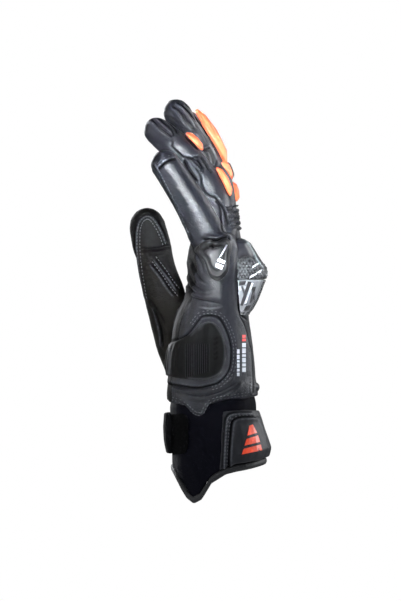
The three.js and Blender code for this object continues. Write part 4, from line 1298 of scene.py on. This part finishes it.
guardFit = {"rootsBack": 2.6, "near": 13.0, "deep": 0.8, "wide": 1.06}
knuckleGuard = softCopy("knuckleGuard", "knuckle_guard", 0.55, 14)
points = readPoints(knuckleGuard)
points[:, 0] -= guardFit["rootsBack"] * (1 - ramp(points[:, 0], 15.5, 21))
fitBack(points, guardFit["near"], guardFit["deep"])
points[:, 1] *= guardFit["wide"]
writePoints(knuckleGuard, points)
clay = Carving(knuckleGuard)
sides = ramp(np.abs(clay.normals[:, 1]), 0.15, 0.4)
outerSides = (np.abs(clay.points[:, 1]) > 24) * 1.0
# painted highlight on the piping ridge and painted shade in the groove above the mesh
clay.line(guardEdges["piping"], outerSides, ridge, taper=1, width=0.8, height=0.7, pale=1.0)
clay.line(guardEdges["meshTop"], sides, groove, taper=1, width=0.6, depth=0.5, dark=0.9)
for name in ("frameLow", "frameHigh"):
    clay.line(guardEdges[name], sides, ridge, taper=1, width=0.9, height=0.6)
clay.push(rippled(clay.points, 61, 9, 22) * 0.3)
clay.settle()
meshTop = np.interp(clay.points[:, 0], *np.array(guardEdges["meshTop"]).T)
writeField(knuckleGuard, "mesh", 1 - ramp(clay.points[:, 2] - meshTop, -0.8, 0.2))
finishPiece(knuckleGuard, guardWeave, "knuckle_guard", slot="guard_rubber")
onGuard = surfaceOf(knuckleGuard)


studLook = {"radius": 0.55, "rowShare": 0.87, "sunk": 0.45}


def studsOn(name, castOn, areas):  # rows of small domes
    ball, faces = ballShape(8, 5, studLook["radius"])
    domes = []
    for low, high, pitch, plane, sign in areas:
        for row, level in enumerate(np.arange(low[1], high[1], pitch * studLook["rowShare"])):
            for across in np.arange(low[0] + (row % 2) * pitch / 2, high[0], pitch):
                found = castOn((across, level), plane, sign)
                if found is not None:
                    flatter = np.eye(3) - studLook["sunk"] * np.outer(found[1], found[1])
                    domes.append(ball @ flatter + found[0])
    return joinedPiece(name, domes, faces, studRubber, "guard_plate")


studsOn("guardStuds", onGuard, [
    ((18.6, 78.6), (32.0, 89.0), 2.05, "side", -1), ((18.6, 78.6), (32.0, 89.0), 2.05, "side", 1),
    ((-31.0, 80.0), (31.5, 88.0), 2.6, "back", 1)])
guardBars = {
    "low": [(24.3, 77.6), (24.9, 79.2), (33.9, 84.4), (33.2, 82.6)],
    "high": [(26.2, 84.2), (26.6, 85.6), (32.2, 89.0), (31.8, 87.6)],
}
for side, sign in bothSides:
    for name, corners in guardBars.items():
        markOn(side + name.title() + "GuardBar", onGuard, corners, palePrint, sign, slot="guard_plate")
for side, sign in bothSides:
    pipeOn(side + "GuardPiping", surfaceOf(knuckleGuard, handLeather), guardEdges["piping"], greyPrint, sign)

knuckleShell = softCopy("knuckleShell", "knuckle_shell", 0.5, 9)
shellFit = {"top": 77.6, "near": 17.5, "tall": 0.84, "deep": 0.85, "back": 1.2, "wide": 1.06}
points = readPoints(knuckleShell)
points[:, 2] = shellFit["top"] + (points[:, 2] - shellFit["top"]) * shellFit["tall"]
points[:, 0] -= shellFit["back"]
fitBack(points, shellFit["near"] - shellFit["back"], shellFit["deep"])
points[:, 1] *= shellFit["wide"]
writePoints(knuckleShell, points)
clay = Carving(knuckleShell)
shellLines = {
    "lowRim": [(17.0, 57.4), (19.4, 55.6), (23.2, 55.4), (26.6, 58.6), (29.6, 64.0)],
    "flute": [(19.0, 74.0), (21.4, 68.0), (23.0, 60.0)],
    "fluteHigh": [(24.4, 75.6), (27.2, 69.0), (28.2, 63.0)],
}
sides = ramp(np.abs(clay.normals[:, 1]), 0.1, 0.35)
# painted shade in the rim groove and the flutes
clay.line(shellLines["lowRim"], sides, groove, taper=0, width=1.0, depth=0.7, dark=1.0)
for name in ("flute", "fluteHigh"):
    clay.line(shellLines[name], sides, groove, taper=2, width=0.8, depth=0.6, dark=0.8)
clay.settle()
finishPiece(knuckleShell, shellGloss, "knuckle_shell", slot="guard_plate")
onShell = surfaceOf(knuckleShell)
shellBars = {
    "dark": {"steep": [(18.4, 60.6), (20.0, 60.2), (25.8, 75.4), (23.6, 75.8)],
             "short": [(24.6, 61.8), (26.2, 63.4), (28.6, 72.6), (26.8, 72.2)],
             "top": [(17.6, 73.0), (18.0, 75.8), (22.4, 76.2), (21.6, 73.8)],
             "low": [(20.6, 57.2), (23.6, 57.4), (25.6, 60.8), (22.4, 60.4)]},
    "pale": {"flash": [(21.2, 61.6), (22.4, 61.8), (27.0, 74.8), (25.9, 75.0)]},
}
for side, sign in bothSides:
    for shade, bars in shellBars.items():
        for name, corners in bars.items():
            markOn(side + name.title() + shade.title() + "Bar", onShell, corners,
                   darkPrint if shade == "dark" else palePrint, sign, slot="guard_plate")

# The side guard: a rubber shield at the root of the little finger

shieldOutline = [(-0.8, 102.2), (3.5, 101.3), (7.3, 103.0), (10.4, 103.3), (12.6, 100.6), (13.2, 96.6),
                 (12.0, 91.5), (11.1, 82.8), (8.1, 78.2), (4.2, 76.0), (0.3, 77.9), (-2.0, 81.0),
                 (-4.5, 88.7), (-7.7, 92.2), (-10.6, 95.6), (-7.0, 99.6)]
sideGuard = plateOn("sideGuard", onLeather, shieldOutline, 2.6, rounds=7)
clay = Carving(sideGuard)
closed = np.array(shieldOutline + shieldOutline[:1])
middle = np.array(shieldOutline).mean(0)
facing = ramp(-clay.normals[:, 1], 0.0, 0.4)
clay.line(middle + (closed - middle) * 0.80, facing, ridge, taper=0, width=0.9, height=0.5)
# painted shade in the grooves
clay.line(middle + (closed - middle) * 0.58, facing, groove, taper=0, width=0.7, depth=0.5, dark=0.5)
clay.line([(-2.0, 97.6), (0.4, 98.6), (2.0, 96.2)], facing, groove, taper=1, width=1.1, depth=1.2, dark=0.9)
clay.line([(-7.5, 97.0), (-3.0, 99.8), (1.5, 100.4)], facing, ridge, taper=2, width=1.6, height=1.2)
clay.settle()
finishPiece(sideGuard, guardRubber, "side_guard", slot="guard_rubber")
onShield = surfaceOf(sideGuard)
shieldTicks = {
    "slim": [(5.2, 91.1), (6.2, 91.5), (10.6, 99.0), (9.7, 99.2)],
    "blockHigh": [(4.8, 90.8), (9.2, 88.8), (8.4, 86.9), (3.7, 88.7)],
    "blockLow": [(3.2, 87.7), (7.9, 85.9), (6.9, 83.2), (2.7, 85.0)],
}
for name, corners in shieldTicks.items():
    markOn(name + "Tick", onShield, corners, palePrint, slot="guard_plate")

# The palm slider: a dark moulded scuff plate with fine ribs

palmSlider = softCopy("palmSlider", "palm_slider", 0.4, 4)
sliderRibs = {"first": -16.2, "last": -1.2, "pitch": 1.35, "low": 18.2, "high": 36.6, "height": 0.34}
sliderRims = {
    "inner": [(-14.0, 40.0), (-8.0, 46.0), (-3.0, 49.6), (2.0, 48.6), (7.0, 40.5), (8.6, 31.0), (7.2, 21.0),
              (2.0, 15.4), (-6.0, 13.6), (-16.0, 14.6)],
    "heel": [(-26.6, 16.2), (-26.4, 25.0), (-26.2, 34.4)],
}
clay = Carving(palmSlider)
x, y, z = clay.points.T
facing = ramp(-clay.normals[:, 1] - clay.normals[:, 0] * 0.3, 0.1, 0.5)
ribLow = sliderRibs["low"] + 0.25 * x
ribbed = ramp(x, sliderRibs["first"] - 0.6, sliderRibs["first"]) * ramp(z, ribLow, ribLow + 1.2)
ribbed *= 1 - ramp(x, sliderRibs["last"], sliderRibs["last"] + 0.6)
ribbed *= (1 - ramp(z, sliderRibs["high"] - 1.2, sliderRibs["high"])) * facing
wave = np.cos((x - sliderRibs["first"]) * 2 * math.pi / sliderRibs["pitch"])
clay.push(wave * sliderRibs["height"] * ribbed)
# painted shade between the ribs and painted highlight on their crests
clay.crease = np.maximum(clay.crease, (wave < -0.1) * ribbed)
clay.lip = np.maximum(clay.lip, (wave > 0.5) * ribbed * 0.25)
# painted highlight along the rims; on the heel it is a painted reflection of the edge
clay.line(sliderRims["inner"], facing, ridge, taper=3, width=0.8, height=0.5, pale=0.4)
clay.line(sliderRims["heel"], facing, ridge, taper=1, width=0.9, height=0.3, pale=1.0)
for level in np.arange(26.0, 41.5, 3.1):  # faint steps beside the ribs, with painted shade in them
    step = [(1.4, level), (3.6, level + 1.2), (3.2, level + 2.4)]
    clay.line(step, facing, groove, taper=0.5, width=0.45, depth=0.3, dark=0.5)
clay.settle()
finishPiece(palmSlider, sliderRubber, "palm_slider", slot="guard_rubber")

# Printed marks beside the back seam

printBlock = {
    "wide": {"sides": (19.9, 22.1), "dashes": [(18.2, 21.0), (21.7, 23.6), (24.3, 27.2), (27.9, 29.4),
                                               (30.1, 33.2), (33.9, 36.6)]},
    "thin": {"sides": (16.6, 18.1), "dashes": [(15.6, 17.8), (18.5, 20.2), (20.9, 23.6), (24.3, 25.6),
                                               (26.3, 29.2), (29.9, 32.6)]},
}
redBars = {"printRedMark": (37.8, 39.4), "printRedMarkHigh": (40.0, 41.8)}


def barBetween(sides, ends):
    (left, right), (low, high) = sides, ends
    return [(left, low), (right, low), (right, high), (left, high)]


for name, ends in redBars.items():
    markOn(name, onLeather, barBetween(printBlock["wide"]["sides"], ends), redPrint)
for kind, block in printBlock.items():
    for number, ends in enumerate(block["dashes"]):
        bar = barBetween(block["sides"], ends)
        markOn(kind + "Dash" + str(number), onLeather, bar, palePrint, cuts=3)
markOn("backRedMark", onLeather, [(25.0, 46.0), (26.2, 46.2), (25.9, 49.6), (24.9, 49.4)], redPrint, cuts=3)

# Flexing inserts and orange pads on the backs of the fingers

for digit in ("ring", "middle", "index"):
    flex = softCopy(digit + "Flex", digit + "_flex", 0.35, 9, -0.15)
    finishPiece(flex, leather, digit + "_flex", slot="leather")

padGrowth = {"ring_pad_lower": 0.3, "ring_pad_upper": 0.3, "index_pad_lower": 0.3, "index_pad_middle": 0.3,
             "index_strip": 0.9}
stripFit = {"tall": 1.09, "slope": 0.05, "back": 0.6}
for node, growth in padGrowth.items():
    pad = softCopy(node.replace("_", " ").title().replace(" ", ""), node, 0.35, 12, growth)
    if node == "index_strip":
        points = readPoints(pad)
        top = points[:, 2].max()
        points[:, 2] = top + (points[:, 2] - top) * stripFit["tall"]
        points[:, 0] += stripFit["slope"] * (points[:, 2].max() - points[:, 2]) - stripFit["back"]
        writePoints(pad, points)
    finishPiece(pad, orangeLeather, node, slot="accent")
indexCap = softCopy("indexCap", "index_cap", 0.35, 10)
finishPiece(indexCap, guardRubber, "index_cap", slot="guard_rubber")
print("guards and pads done")


# Floor

bpy.ops.mesh.primitive_circle_add(vertices=96, radius=0.6, fill_type="NGON", location=(0, 0, -0.3))
floor = settle(bpy.context.object)
floor.name = "paleFloor"
floorFinish = Finish("paleFloor")
floor.data.materials.append(floorFinish.look(colour=(0.92, 0.92, 0.92), rough=0.9))
